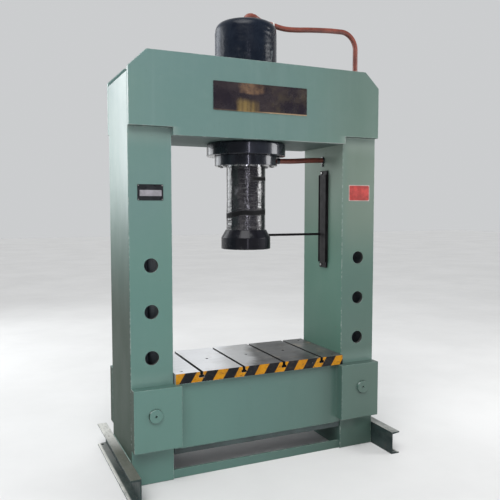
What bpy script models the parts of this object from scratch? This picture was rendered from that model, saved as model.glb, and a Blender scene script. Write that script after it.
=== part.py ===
"""Hydraulic press: a welded portal frame, a bed that hangs on two pins and one cylinder in the head.

Metres, +Z up. The origin is on the floor midway between the columns, +X is the press's right side
and -Y is its front.
"""

import math

import bmesh
import bpy
from mathutils import Matrix, Vector

# Fits that all the pieces share
SEAT = 0.0003
OVERRUN = 0.010

# Columns, each welded from four plates
FRAME_WIDTH = 1.600
COLUMN_WIDTH = 0.244
COLUMN_DEPTH = 0.484
COLUMN_HEIGHT = 2.280
COLUMN_WALL = 0.022
COLUMN_CAP = 0.012

# Feet: rolled channels along the columns' outer sides
FOOT_LENGTH = 0.920
FOOT_HEIGHT = 0.140
FOOT_FLANGE = 0.058
FOOT_WEB = 0.007
FOOT_TOE = 0.008
FOOT_ROOT = 0.012
FOOT_TOE_RADIUS = 0.004
ANCHOR_DIAMETER = 0.018
ANCHOR_INSET = 0.030

# Tie bars near the floor
TIE_HEIGHT = 0.052
TIE_THICKNESS = 0.012
TIE_INSET = 0.012
TIE_LIFT = 0.0005

# Head
HEAD_OVERLAP = 0.291
HEAD_DROP = 0.044
HEAD_DROP_CLEARANCE = 0.001
HEAD_SHOULDER = 0.021
HEAD_CHAMFER_WIDTH = 0.100
HEAD_CHAMFER_HEIGHT = 0.094
HEAD_PLATE = 0.033
HEAD_FLOOR = 0.040
HEAD_LID = 0.030
HEAD_LID_DEPTH = 0.060
HEAD_RIB = 0.020
HEAD_RIB_CLEARANCE = 0.134

# Pins and the rows of holes that they fit
PIN_DIAMETER = 0.078
PIN_CLEARANCE = 0.0005
PIN_HEIGHT = 0.408
PIN_PROUD = 0.0125
PIN_CHAMFER = 0.003
PIN_CENTRE_DIAMETER = 0.012
PIN_CENTRE_DEPTH = 0.016
FIRST_RAISE = 0.309
HOLE_PITCH = 0.258
FREE_HOLES = 3

# Bed
BED_SIDE_CLEARANCE = 0.004
BED_SLIDE_CLEARANCE = 0.001
BED_TOP_ABOVE_PIN = 0.1507
BED_HEIGHT = 0.415
BED_PLATE = 0.030
BED_LID = 0.019
BED_FLOOR = 0.034
BED_FLOOR_INSET = 0.006
BED_RIB = 0.020
BED_RIB_PITCH = 0.280
BED_RIBS = 3
EAR_THICKNESS = 0.065
EAR_BELOW_PIN = 0.199
EAR_LAP = 0.031

# Table with its T-slots
TABLE_THICKNESS = 0.059
TABLE_OVERHANG = 0.029
SLOT_PITCH = 0.265
SLOTS = 4
SLOT_NECK = 0.018
SLOT_HEAD = 0.032
SLOT_HEAD_HEIGHT = 0.014
SLOT_DEPTH = 0.034
SCREW_HOLE_DIAMETER = 0.018
SCREW_HOLE_DEPTH = 0.020
SCREW_HOLE_INSET = 0.048

# Cylinder, as wide as the head takes
BARREL_SIDE_CLEARANCE = 0.066
BARREL_WALL = 0.036
BARREL_PROUD = 0.180
FLANGE_LAP = 0.004
FLANGE_THICKNESS = 0.0765
FLANGE_ROUND = 0.010
GLAND_LAP = 0.056
GLAND_THICKNESS = 0.060
CAP_LIP = 0.012
CAP_THICKNESS = 0.100
CAP_SHOULDER = 0.060
LOCK_RING_WIDTH = 0.039
LOCK_RING_HEIGHT = 0.038
BUSH_WALL = 0.020
BUSH_LENGTH = 0.060
SEAL_WIDTH = 0.015
SEAL_HEIGHT = 0.013
WIPER_WIDTH = 0.011
WIPER_HEIGHT = 0.011
RUNNING_CLEARANCE = 0.0005
WRAP_THICKNESS = 0.001

# Ram: piston, rod and platen, drawn where the ram hangs at rest
ROD_REACH = 0.394
STROKE_DOWN = 0.160
STROKE_SPARE = 0.010
PISTON_LENGTH = 0.080
PISTON_GROOVE = 0.010
PISTON_GROOVE_HEIGHT = 0.016
PISTON_SPIGOT_STEP = 0.050
PISTON_THREAD_STEP = 0.015
PISTON_NUT_WIDTH = 0.050
PISTON_NUT_HEIGHT = 0.034
PISTON_THREAD_SPARE = 0.010
PLATEN_LIP = 0.034
PLATEN_RIM = 0.071
PLATEN_CHAMFER = 0.003
PLATEN_NECK_LIP = 0.007
PLATEN_CONE = 0.048
PLATEN_SPIGOT_STEP = 0.060
PLATEN_SPIGOT_DEPTH = 0.050
ROD_WRAP_STAND_OFF = 0.0015
ROD_WRAP_GAP = 0.004

# Travel scale on the right column, and the pointer that runs in its slot
SCALE_BELOW_HEAD = 0.153
SCALE_LENGTH = 0.635
SCALE_WIDTH = 0.090
SCALE_DEPTH = 0.022
SCALE_FORWARD = 0.032
SCALE_UPPER_TAB = 0.026
SCALE_LOWER_TAB = 0.036
SCALE_TAB_WIDTH = 0.082
SCALE_TAB_THICKNESS = 0.012
SCALE_SLOT = 0.012
SCALE_SLOT_DEPTH = 0.012
POINTER_HEIGHT = 0.015
POINTER_THICKNESS = 0.010
POINTER_ABOVE_RIM = 0.0035
POINTER_TONGUE = 0.006
POINTER_TONGUE_LENGTH = 0.014
POINTER_TIP_CLEARANCE = 0.004

# Pipes and their fittings
PIPE_DIAMETER = 0.033
PIPE_STAND_OFF = 0.030
PIPE_BEND = 0.110
FITTING_DIAMETER = 0.039
FITTING_LENGTH = 0.034
UNION_DIAMETER = 0.052
UNION_LENGTH = 0.044
ELBOW_RISE = 0.053
ELBOW_REACH = 0.045
ELBOW_BOSS_DIAMETER = 0.060
ELBOW_BOSS_HEIGHT = 0.014
UPPER_PIPE_LEAD = 0.012
UPPER_PIPE_BACK = 0.040
UPPER_PIPE_TAIL = 0.050
LOWER_PIPE_BELOW_FLANGE = 0.0205
LOWER_PIPE_FORWARD = 0.005
LOWER_PIPE_RISE = 0.015
LOWER_PIPE_LEAD = 0.012
CLAMP_WIDTH = 0.070
CLAMP_HEIGHT = 0.030
CLAMP_ABOVE_LAP = 0.030
CLAMP_COVER = 0.008

# The upper pipe's run from the elbow to its bend: shares of the way across, of the way back and of
# the elbow's rise
UPPER_PIPE_SHARES = (
    (0.0, 0.0, 1.0),
    (0.08, 0.5, 0.72),
    (0.2, 0.9, 0.58),
    (0.345, 1.0, 0.34),
    (0.48, 1.0, 0.41),
    (0.63, 1.0, 0.62),
    (0.85, 1.0, 0.85),
    (1.0, 1.0, 0.92),
)

# The lower pipe's run from its fitting to the column: shares of the way across and of its rise
LOWER_PIPE_SHARES = ((0.0, 0.0), (0.3, 0.2), (0.7, 0.8), (1.0, 1.0))

# Facets
ROUND_SIDES = 48
PIN_SIDES = 32
SMALL_SIDES = 24
ARC_STEPS = 8
SHOULDER_STEPS = 3
ROUTE_STEPS = 3
PIPE_BEVEL_STEPS = 4
SMOOTH_ANGLE = math.radians(30)

# Finishes: colour, roughness, metallic
PAINT = ((0.14, 0.28, 0.24), 0.45, 0.0)
STEEL = ((0.62, 0.63, 0.64), 0.30, 1.0)
DARK_STEEL = ((0.020, 0.023, 0.028), 0.35, 0.6)
CHROME = ((0.70, 0.71, 0.72), 0.12, 1.0)
BRONZE = ((0.55, 0.36, 0.16), 0.35, 1.0)
RUBBER = ((0.03, 0.03, 0.03), 0.7, 0.0)
BLACK_PLASTIC = ((0.015, 0.015, 0.017), 0.4, 0.0)
PRIMER = ((0.20, 0.045, 0.035), 0.5, 0.0)
FILM = ((0.025, 0.027, 0.035), 0.15, 0.0)

# Places worked out from the sizes above
OUTER = FRAME_WIDTH / 2
INNER = OUTER - COLUMN_WIDTH
COLUMN_CENTRE = OUTER - COLUMN_WIDTH / 2
FACE = COLUMN_DEPTH / 2
HEAD_LAP_Z = COLUMN_HEIGHT - HEAD_OVERLAP
HEAD_BOTTOM_Z = HEAD_LAP_Z - HEAD_DROP
HEAD_SHOULDER_Z = COLUMN_HEIGHT + HEAD_SHOULDER
HEAD_TOP_Z = HEAD_SHOULDER_Z + HEAD_CHAMFER_HEIGHT
HEAD_LID_Z = HEAD_TOP_Z - HEAD_LID_DEPTH
BED_TOP_Z = PIN_HEIGHT + BED_TOP_ABOVE_PIN
BED_BOTTOM_Z = BED_TOP_Z - BED_HEIGHT
BED_HALF_WIDTH = INNER - BED_SIDE_CLEARANCE
BED_FACE = FACE + BED_SLIDE_CLEARANCE - SEAT
EAR_BACK = FACE + BED_SLIDE_CLEARANCE
EAR_FRONT = EAR_BACK + EAR_THICKNESS
HOLE_DIAMETER = PIN_DIAMETER + 2 * PIN_CLEARANCE
BARREL_DIAMETER = COLUMN_DEPTH - 2 * BARREL_SIDE_CLEARANCE
BORE_DIAMETER = BARREL_DIAMETER - 2 * BARREL_WALL
CAP_DIAMETER = BARREL_DIAMETER + 2 * CAP_LIP
FLANGE_DIAMETER = COLUMN_DEPTH + 2 * FLANGE_LAP
GLAND_DIAMETER = BORE_DIAMETER + 2 * GLAND_LAP
ROD_DIAMETER = BORE_DIAMETER - 2 * BUSH_WALL
PLATEN_DIAMETER = ROD_DIAMETER + 2 * PLATEN_LIP
PLATEN_NECK_DIAMETER = ROD_DIAMETER + 2 * PLATEN_NECK_LIP
PLATEN_SPIGOT_DIAMETER = ROD_DIAMETER - 2 * PLATEN_SPIGOT_STEP
PISTON_SPIGOT_DIAMETER = ROD_DIAMETER - 2 * PISTON_SPIGOT_STEP
PISTON_THREAD_DIAMETER = PISTON_SPIGOT_DIAMETER - 2 * PISTON_THREAD_STEP
HOLE_HEIGHTS = [PIN_HEIGHT] + [PIN_HEIGHT + FIRST_RAISE + n * HOLE_PITCH for n in range(FREE_HOLES)]
FLANGE_TOP_Z = HEAD_BOTTOM_Z - SEAT
FLANGE_BOTTOM_Z = FLANGE_TOP_Z - FLANGE_THICKNESS
GLAND_TOP_Z = FLANGE_BOTTOM_Z - SEAT
GLAND_BOTTOM_Z = GLAND_TOP_Z - GLAND_THICKNESS
BARREL_TOP_Z = HEAD_TOP_Z + BARREL_PROUD
CAP_BOTTOM_Z = BARREL_TOP_Z + SEAT
CAP_TOP_Z = CAP_BOTTOM_Z + CAP_THICKNESS
BUSH_BOTTOM_Z = FLANGE_BOTTOM_Z + SEAT
BUSH_TOP_Z = BUSH_BOTTOM_Z + BUSH_LENGTH
PLATEN_TOP_Z = GLAND_BOTTOM_Z - ROD_REACH
PLATEN_RIM_Z = PLATEN_TOP_Z - PLATEN_CONE
PLATEN_BOTTOM_Z = PLATEN_RIM_Z - PLATEN_RIM
PISTON_BOTTOM_Z = BUSH_TOP_Z + STROKE_DOWN + STROKE_SPARE
PISTON_TOP_Z = PISTON_BOTTOM_Z + PISTON_LENGTH
SCALE_TOP_Z = HEAD_BOTTOM_Z - SCALE_BELOW_HEAD
SCALE_BOTTOM_Z = SCALE_TOP_Z - SCALE_LENGTH
SCALE_FACE = INNER - SEAT - SCALE_DEPTH
LOWER_PIPE_Z = FLANGE_BOTTOM_Z - LOWER_PIPE_BELOW_FLANGE
LOWER_PIPE_HOLE_Z = LOWER_PIPE_Z + LOWER_PIPE_RISE
PIPE_HOLE_DIAMETER = PIPE_DIAMETER + 2 * RUNNING_CLEARANCE
UPPER_PIPE_X = OUTER + PIPE_STAND_OFF
CLAMP_Z = HEAD_LAP_Z + CLAMP_ABOVE_LAP
UPPER_PIPE_END_Z = CLAMP_Z - UPPER_PIPE_TAIL


def clear_scene():
    for obj in list(bpy.data.objects):
        bpy.data.objects.remove(obj)


def give_material(obj, look):
    colour, roughness, metallic = look
    material = bpy.data.materials.new(obj.name + "_finish")
    material.use_nodes = True
    shader = material.node_tree.nodes["Principled BSDF"]
    shader.inputs["Base Color"].default_value = (*colour, 1.0)
    shader.inputs["Roughness"].default_value = roughness
    shader.inputs["Metallic"].default_value = metallic
    obj.data.materials.append(material)


def add_object(name, bm, look=None, smooth=False):
    """One object from a closed bmesh, with its faces turned out."""
    bmesh.ops.recalc_face_normals(bm, faces=bm.faces)
    mesh = bpy.data.meshes.new(name)
    bm.to_mesh(mesh)
    bm.free()
    if smooth:
        mesh.shade_smooth()
        mesh.set_sharp_from_angle(angle=SMOOTH_ANGLE)
    obj = bpy.data.objects.new(name, mesh)
    bpy.context.scene.collection.objects.link(obj)
    if look:
        give_material(obj, look)
    return obj


def add_block(name, x_span, y_span, z_span, look):
    """A plate or bar between two places along each axis."""
    bm = bmesh.new()
    bmesh.ops.create_cube(bm, size=1)
    spans = (x_span, y_span, z_span)
    size = Matrix.Diagonal([high - low for low, high in spans]).to_4x4()
    place = Matrix.Translation([(low + high) / 2 for low, high in spans])
    bmesh.ops.transform(bm, matrix=place @ size, verts=bm.verts)
    return add_object(name, bm, look)


def add_prism(name, outline, axis, span, look):
    """An outline in the plane across an axis, extruded along it. Its points keep X, Y, Z order."""
    low, high = span
    bm = bmesh.new()
    corners = []
    for first, second in outline:
        point = {"X": (low, first, second), "Y": (first, low, second), "Z": (first, second, low)}
        corners.append(bm.verts.new(point[axis]))
    face = bm.faces.new(corners)
    grown = bmesh.ops.extrude_face_region(bm, geom=[face])
    moved = [part for part in grown["geom"] if isinstance(part, bmesh.types.BMVert)]
    direction = Vector([high - low if letter == axis else 0 for letter in "XYZ"])
    bmesh.ops.translate(bm, vec=direction, verts=moved)
    return add_object(name, bm, look)


def turned_mesh(profile, sides):
    """A closed profile of (radius, height) points, turned about Z."""
    bm = bmesh.new()
    points = [bm.verts.new((radius, 0, height)) for radius, height in profile]
    edges = []
    for here, after in zip(points, points[1:] + points[:1]):
        if here.co.x or after.co.x:
            edges.append(bm.edges.new((here, after)))
    bmesh.ops.spin(
        bm,
        geom=points + edges,
        cent=(0, 0, 0),
        axis=(0, 0, 1),
        angle=math.tau,
        steps=sides,
        use_merge=True,
    )
    bmesh.ops.remove_doubles(bm, verts=bm.verts, dist=SEAT / 10)
    return bm


def add_turned(name, profile, look, sides=ROUND_SIDES):
    return add_object(name, turned_mesh(profile, sides), look, smooth=True)


def ring_profile(inner_diameter, outer_diameter, low, high):
    inner, outer = inner_diameter / 2, outer_diameter / 2
    return [(inner, low), (outer, low), (outer, high), (inner, high)]


def add_ring(name, inner_diameter, outer_diameter, low, high, look, sides=ROUND_SIDES):
    return add_turned(name, ring_profile(inner_diameter, outer_diameter, low, high), look, sides)


def axis_turn(axis):
    """The rotation that lays a piece turned about Z along another axis."""
    if axis == "X":
        return Matrix.Rotation(math.pi / 2, 4, "Y")
    if axis == "Y":
        return Matrix.Rotation(-math.pi / 2, 4, "X")
    return Matrix.Identity(4)


def add_cutter(name, bm):
    cutter = add_object(name, bm)
    cutter.hide_render = True
    cutter.display_type = "WIRE"
    return cutter


def drill(obj, centre, axis, diameter, low, high, sides=ROUND_SIDES):
    """A round hole along an axis, from low to high, through the centre's other two places."""
    radius = diameter / 2
    bm = turned_mesh([(0, low), (radius, low), (radius, high), (0, high)], sides)
    across = Vector([0 if letter == axis else place for letter, place in zip("XYZ", centre)])
    bmesh.ops.transform(bm, matrix=Matrix.Translation(across) @ axis_turn(axis), verts=bm.verts)
    cutter = add_cutter(f"{obj.name}_hole_{len(obj.modifiers)}", bm)
    modifier = obj.modifiers.new(cutter.name, "BOOLEAN")
    modifier.operation = "DIFFERENCE"
    modifier.object = cutter
    return cutter


def join(obj, other):
    """Makes the other piece part of this one."""
    other.hide_render = True
    other.display_type = "WIRE"
    modifier = obj.modifiers.new(other.name, "BOOLEAN")
    modifier.operation = "UNION"
    modifier.object = other


def arc(centre, radius, start, end, steps=ARC_STEPS):
    """Points on an arc, with its two ends."""
    turns = [start + (end - start) * n / steps for n in range(steps + 1)]
    return [(centre[0] + radius * math.cos(a), centre[1] + radius * math.sin(a)) for a in turns]


def mirrored(side, span):
    """A span on the right, or its mirror image on the left."""
    low, high = span
    return (low, high) if side > 0 else (-high, -low)


def drill_pin_holes(plate, side, low, high):
    for height in HOLE_HEIGHTS:
        drill(plate, (side * COLUMN_CENTRE, 0, height), "Y", HOLE_DIAMETER, low, high, PIN_SIDES)


def make_column(name, side):
    """Four plates under a cap: front and rear ones with the pin holes, two side plates between."""
    width = mirrored(side, (INNER, OUTER))
    height = (0, COLUMN_HEIGHT - COLUMN_CAP - SEAT)
    top = (COLUMN_HEIGHT - COLUMN_CAP, COLUMN_HEIGHT)
    add_block(f"{name}_cap", width, (-FACE, FACE), top, PAINT)
    for end, facing in (("front", -1), ("rear", 1)):
        depth = mirrored(facing, (FACE - COLUMN_WALL, FACE))
        plate = add_block(f"{name}_{end}_plate", width, depth, height, PAINT)
        drill_pin_holes(plate, side, depth[0] - OVERRUN, depth[1] + OVERRUN)
    between = FACE - COLUMN_WALL - SEAT
    sides = {"inner": (INNER, INNER + COLUMN_WALL), "outer": (OUTER - COLUMN_WALL, OUTER)}
    for where, span in sides.items():
        across = mirrored(side, span)
        plate = add_block(f"{name}_{where}_plate", across, (-between, between), height, PAINT)
        if side > 0:
            centre = (0, -LOWER_PIPE_FORWARD, LOWER_PIPE_HOLE_Z)
            drill(
                plate,
                centre,
                "X",
                PIPE_HOLE_DIAMETER,
                across[0] - OVERRUN,
                across[1] + OVERRUN,
                SMALL_SIDES,
            )


def foot_outline(side):
    """A rolled channel's section: tapered flanges that point outwards, with rounded toes."""
    root = OUTER + SEAT
    toe = root + FOOT_FLANGE
    web = root + FOOT_WEB
    centre = (toe - FOOT_TOE_RADIUS, FOOT_TOE - FOOT_TOE_RADIUS)
    lower = [(root, 0), (toe, 0)]
    lower += arc(centre, FOOT_TOE_RADIUS, 0, math.pi / 2, ARC_STEPS // 2)
    lower.append((web, FOOT_ROOT))
    upper = [(x, FOOT_HEIGHT - z) for x, z in reversed(lower)]
    return [(side * x, z) for x, z in lower + upper]


def make_foot(name, side):
    half = FOOT_LENGTH / 2
    foot = add_prism(name, foot_outline(side), "Y", (-half, half), PAINT)
    middle = side * (OUTER + SEAT + (FOOT_WEB + FOOT_FLANGE) / 2)
    for end in (-1, 1):
        centre = (middle, end * (half - ANCHOR_INSET), 0)
        drill(foot, centre, "Z", ANCHOR_DIAMETER, -OVERRUN, FOOT_ROOT + OVERRUN, SMALL_SIDES)


def make_ties():
    width = (-INNER + SEAT, INNER - SEAT)
    height = (TIE_LIFT, TIE_LIFT + TIE_HEIGHT)
    front = FACE - TIE_INSET
    for name, facing in (("front_tie", -1), ("rear_tie", 1)):
        add_block(name, width, mirrored(facing, (front - TIE_THICKNESS, front)), height, PAINT)


def head_outline():
    """The head's side plate: laps over both columns, hangs lower between them, clipped corners."""
    drop = INNER - HEAD_DROP_CLEARANCE
    right = [
        (drop, HEAD_BOTTOM_Z),
        (drop, HEAD_LAP_Z),
        (OUTER, HEAD_LAP_Z),
        (OUTER, HEAD_SHOULDER_Z),
        (OUTER - HEAD_CHAMFER_WIDTH, HEAD_TOP_Z),
    ]
    return right + [(-x, z) for x, z in reversed(right)]


def make_head():
    outline = head_outline()
    for name, facing in (("head_front_plate", -1), ("head_rear_plate", 1)):
        depth = mirrored(facing, (FACE + SEAT, FACE + SEAT + HEAD_PLATE))
        add_prism(name, outline, "Y", depth, PAINT)
    width = (-INNER + SEAT, INNER - SEAT)
    depth = (-FACE, FACE)
    floor = (HEAD_BOTTOM_Z, HEAD_BOTTOM_Z + HEAD_FLOOR)
    lid = (HEAD_LID_Z, HEAD_LID_Z + HEAD_LID)
    for name, height in (("head_bottom_plate", floor), ("head_top_plate", lid)):
        plate = add_block(name, width, depth, height, PAINT)
        hole = BARREL_DIAMETER + 2 * RUNNING_CLEARANCE
        drill(plate, (0, 0, 0), "Z", hole, height[0] - OVERRUN, height[1] + OVERRUN)
    height = (floor[1] + SEAT, lid[0] - SEAT)
    for name, side in (("head_left_rib", -1), ("head_right_rib", 1)):
        place = BARREL_DIAMETER / 2 + HEAD_RIB_CLEARANCE
        add_block(name, mirrored(side, (place, place + HEAD_RIB)), depth, height, PAINT)


def make_bed_box():
    """The bed's welded box: two deep side plates, a lid, a floor, end plates and ribs."""
    half = BED_HALF_WIDTH
    inside = BED_FACE - BED_PLATE
    walls = (BED_BOTTOM_Z + BED_FLOOR + SEAT, BED_TOP_Z - BED_LID - SEAT)
    for name, facing in (("bed_front_plate", -1), ("bed_rear_plate", 1)):
        add_block(name, (-half, half), mirrored(facing, (inside, BED_FACE)), walls, PAINT)
    add_block(
        "bed_top_plate",
        (-half, half),
        (-BED_FACE, BED_FACE),
        (BED_TOP_Z - BED_LID, BED_TOP_Z),
        PAINT,
    )
    floor = BED_FACE - BED_FLOOR_INSET
    add_block(
        "bed_bottom_plate",
        (-half, half),
        (-floor, floor),
        (BED_BOTTOM_Z, BED_BOTTOM_Z + BED_FLOOR),
        PAINT,
    )
    depth = (-inside + SEAT, inside - SEAT)
    for name, side in (("bed_left_end", -1), ("bed_right_end", 1)):
        add_block(name, mirrored(side, (half - BED_RIB, half)), depth, walls, PAINT)
    for number in range(BED_RIBS):
        middle = (number - (BED_RIBS - 1) / 2) * BED_RIB_PITCH
        span = (middle - BED_RIB / 2, middle + BED_RIB / 2)
        add_block(f"bed_rib_{number + 1}", span, depth, walls, PAINT)


def make_ears():
    """Thick lugs that reach over the columns and hang on the pins."""
    height = (PIN_HEIGHT - EAR_BELOW_PIN, BED_TOP_Z)
    for side_name, side in (("left", -1), ("right", 1)):
        width = mirrored(side, (INNER - EAR_LAP, OUTER))
        for end, facing in (("front", -1), ("rear", 1)):
            depth = mirrored(facing, (EAR_BACK, EAR_FRONT))
            ear = add_block(f"bed_{side_name}_{end}_ear", width, depth, height, PAINT)
            centre = (side * COLUMN_CENTRE, 0, PIN_HEIGHT)
            low, high = depth[0] - OVERRUN, depth[1] + OVERRUN
            drill(ear, centre, "Y", HOLE_DIAMETER, low, high, PIN_SIDES)


def table_outline():
    """The table's section across its T-slots, from the left end of its underside."""
    low = BED_TOP_Z + SEAT
    top = low + TABLE_THICKNESS
    floor = top - SLOT_DEPTH
    shoulder = floor + SLOT_HEAD_HEIGHT
    neck, head = SLOT_NECK / 2, SLOT_HEAD / 2
    points = [(-BED_HALF_WIDTH, low), (BED_HALF_WIDTH, low), (BED_HALF_WIDTH, top)]
    for number in reversed(range(SLOTS)):
        middle = (number - (SLOTS - 1) / 2) * SLOT_PITCH
        right = [(neck, top), (neck, shoulder), (head, shoulder), (head, floor)]
        points += [(middle + x, z) for x, z in right]
        points += [(middle - x, z) for x, z in reversed(right)]
    return points + [(-BED_HALF_WIDTH, top)]


def make_table():
    half = FACE + TABLE_OVERHANG
    table = add_prism("table_plate", table_outline(), "Y", (-half, half), STEEL)
    top = BED_TOP_Z + SEAT + TABLE_THICKNESS
    corner = BED_HALF_WIDTH - SCREW_HOLE_INSET
    end = half - SCREW_HOLE_INSET
    places = [(n * SLOT_PITCH, 0) for n in (-1, 0, 1)]
    places += [(x, y) for x in (-corner, corner) for y in (-end, end)]
    for x, y in places:
        low, high = top - SCREW_HOLE_DEPTH, top + OVERRUN
        drill(table, (x, y, 0), "Z", SCREW_HOLE_DIAMETER, low, high, SMALL_SIDES)


def make_pin(name, side):
    """A pin through both ears and the column, with chamfered ends and a centre hole at the front."""
    radius = PIN_DIAMETER / 2
    half = EAR_FRONT + PIN_PROUD
    centre = PIN_CENTRE_DIAMETER / 2
    profile = [
        (0, -half + PIN_CENTRE_DEPTH),
        (centre, -half + PIN_CENTRE_DEPTH),
        (centre, -half),
        (radius - PIN_CHAMFER, -half),
        (radius, -half + PIN_CHAMFER),
        (radius, half - PIN_CHAMFER),
        (radius - PIN_CHAMFER, half),
        (0, half),
    ]
    bm = turned_mesh(profile, PIN_SIDES)
    bmesh.ops.transform(bm, matrix=axis_turn("Y"), verts=bm.verts)
    pin = add_object(name, bm, PAINT, smooth=True)
    pin.location = (side * COLUMN_CENTRE, 0, PIN_HEIGHT)


def make_barrel():
    """The cylinder's tube with the flange that bears on the head's underside."""
    bore, outer, flange = BORE_DIAMETER / 2, BARREL_DIAMETER / 2, FLANGE_DIAMETER / 2
    edge = (flange - FLANGE_ROUND, FLANGE_TOP_Z - FLANGE_ROUND)
    profile = [(bore, FLANGE_BOTTOM_Z), (flange, FLANGE_BOTTOM_Z)]
    profile += arc(edge, FLANGE_ROUND, 0, math.pi / 2, ARC_STEPS // 2)
    profile += [(outer, FLANGE_TOP_Z), (outer, BARREL_TOP_Z), (bore, BARREL_TOP_Z)]
    add_turned("cylinder_barrel", profile, DARK_STEEL)


def make_cap():
    """The cylinder's closed end, with a round shoulder."""
    outer = CAP_DIAMETER / 2
    edge = (outer - CAP_SHOULDER, CAP_TOP_Z - CAP_SHOULDER)
    profile = [(0, CAP_BOTTOM_Z), (outer, CAP_BOTTOM_Z)]
    profile += arc(edge, CAP_SHOULDER, 0, math.pi / 2, SHOULDER_STEPS)
    profile.append((0, CAP_TOP_Z))
    add_turned("cylinder_cap", profile, DARK_STEEL)


def make_gland():
    """The ring under the flange, with a seat for the rod seal above and the wiper below."""
    inner = ROD_DIAMETER / 2 + 2 * RUNNING_CLEARANCE
    seal = ROD_DIAMETER / 2 + SEAL_WIDTH + SEAT
    wiper = ROD_DIAMETER / 2 + WIPER_WIDTH + SEAT
    seal_z = GLAND_TOP_Z - SEAL_HEIGHT - SEAT
    wiper_z = GLAND_BOTTOM_Z + WIPER_HEIGHT + SEAT
    profile = [
        (wiper, GLAND_BOTTOM_Z),
        (GLAND_DIAMETER / 2, GLAND_BOTTOM_Z),
        (GLAND_DIAMETER / 2, GLAND_TOP_Z),
        (seal, GLAND_TOP_Z),
        (seal, seal_z),
        (inner, seal_z),
        (inner, wiper_z),
        (wiper, wiper_z),
    ]
    add_turned("gland_ring", profile, DARK_STEEL)
    running = ROD_DIAMETER + 2 * RUNNING_CLEARANCE
    seal_outer = ROD_DIAMETER + 2 * SEAL_WIDTH
    add_ring("rod_seal", running, seal_outer, seal_z + SEAT, GLAND_TOP_Z, RUBBER)
    wiper_outer = ROD_DIAMETER + 2 * WIPER_WIDTH
    add_ring("rod_wiper", running, wiper_outer, GLAND_BOTTOM_Z, wiper_z - SEAT, RUBBER)


def make_cylinder():
    make_barrel()
    make_cap()
    make_gland()
    running = ROD_DIAMETER + 2 * RUNNING_CLEARANCE
    bush_outer = BORE_DIAMETER - 2 * SEAT
    add_ring("guide_bush", running, bush_outer, BUSH_BOTTOM_Z, BUSH_TOP_Z, BRONZE)
    low = HEAD_LID_Z + HEAD_LID + SEAT
    lock_inner = BARREL_DIAMETER + 2 * SEAT
    lock_outer = BARREL_DIAMETER + 2 * LOCK_RING_WIDTH
    add_ring("cylinder_lock_ring", lock_inner, lock_outer, low, low + LOCK_RING_HEIGHT, DARK_STEEL)
    wrap_inner = CAP_DIAMETER + 2 * SEAT
    wrap_low = low + LOCK_RING_HEIGHT + SEAT
    wrap_high = CAP_TOP_Z - CAP_SHOULDER
    wrap_outer = wrap_inner + 2 * WRAP_THICKNESS
    add_ring("barrel_wrap", wrap_inner, wrap_outer, wrap_low, wrap_high, FILM)


def rod_profile():
    """The rod, with a spigot and thread for the piston above and a spigot for the platen below."""
    rod, spigot, thread = (d / 2 for d in (ROD_DIAMETER, PISTON_SPIGOT_DIAMETER, PISTON_THREAD_DIAMETER))
    low = PLATEN_TOP_Z + SEAT
    foot = PLATEN_SPIGOT_DIAMETER / 2
    tip = PISTON_TOP_Z + SEAT + PISTON_NUT_HEIGHT + PISTON_THREAD_SPARE
    return [
        (0, low - PLATEN_SPIGOT_DEPTH),
        (foot, low - PLATEN_SPIGOT_DEPTH),
        (foot, low),
        (rod, low),
        (rod, PISTON_BOTTOM_Z - SEAT),
        (spigot, PISTON_BOTTOM_Z - SEAT),
        (spigot, PISTON_TOP_Z - SEAT),
        (thread, PISTON_TOP_Z - SEAT),
        (thread, tip),
        (0, tip),
    ]


def piston_profile():
    """The piston, with one groove for its seal."""
    bore = PISTON_SPIGOT_DIAMETER / 2 + SEAT
    outer = BORE_DIAMETER / 2 - RUNNING_CLEARANCE
    middle = (PISTON_BOTTOM_Z + PISTON_TOP_Z) / 2
    low, high = middle - PISTON_GROOVE_HEIGHT / 2, middle + PISTON_GROOVE_HEIGHT / 2
    groove = outer - PISTON_GROOVE
    return [
        (bore, PISTON_BOTTOM_Z),
        (outer, PISTON_BOTTOM_Z),
        (outer, low),
        (groove, low),
        (groove, high),
        (outer, high),
        (outer, PISTON_TOP_Z),
        (bore, PISTON_TOP_Z),
    ]


def platen_profile():
    """The pressing head: a rim, a cone up to the rod and a socket for the rod's spigot."""
    rim, neck = PLATEN_DIAMETER / 2, PLATEN_NECK_DIAMETER / 2
    socket = PLATEN_SPIGOT_DIAMETER / 2 + SEAT
    floor = PLATEN_TOP_Z - PLATEN_SPIGOT_DEPTH - SEAT
    return [
        (0, PLATEN_BOTTOM_Z),
        (rim - PLATEN_CHAMFER, PLATEN_BOTTOM_Z),
        (rim, PLATEN_BOTTOM_Z + PLATEN_CHAMFER),
        (rim, PLATEN_RIM_Z),
        (neck, PLATEN_TOP_Z),
        (socket, PLATEN_TOP_Z),
        (socket, floor),
        (0, floor),
    ]


def cone_radius(height):
    """The platen's cone at a height, where the pointer's end is cut to meet it."""
    share = (height - PLATEN_RIM_Z) / PLATEN_CONE
    return (PLATEN_DIAMETER + share * (PLATEN_NECK_DIAMETER - PLATEN_DIAMETER)) / 2


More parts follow.
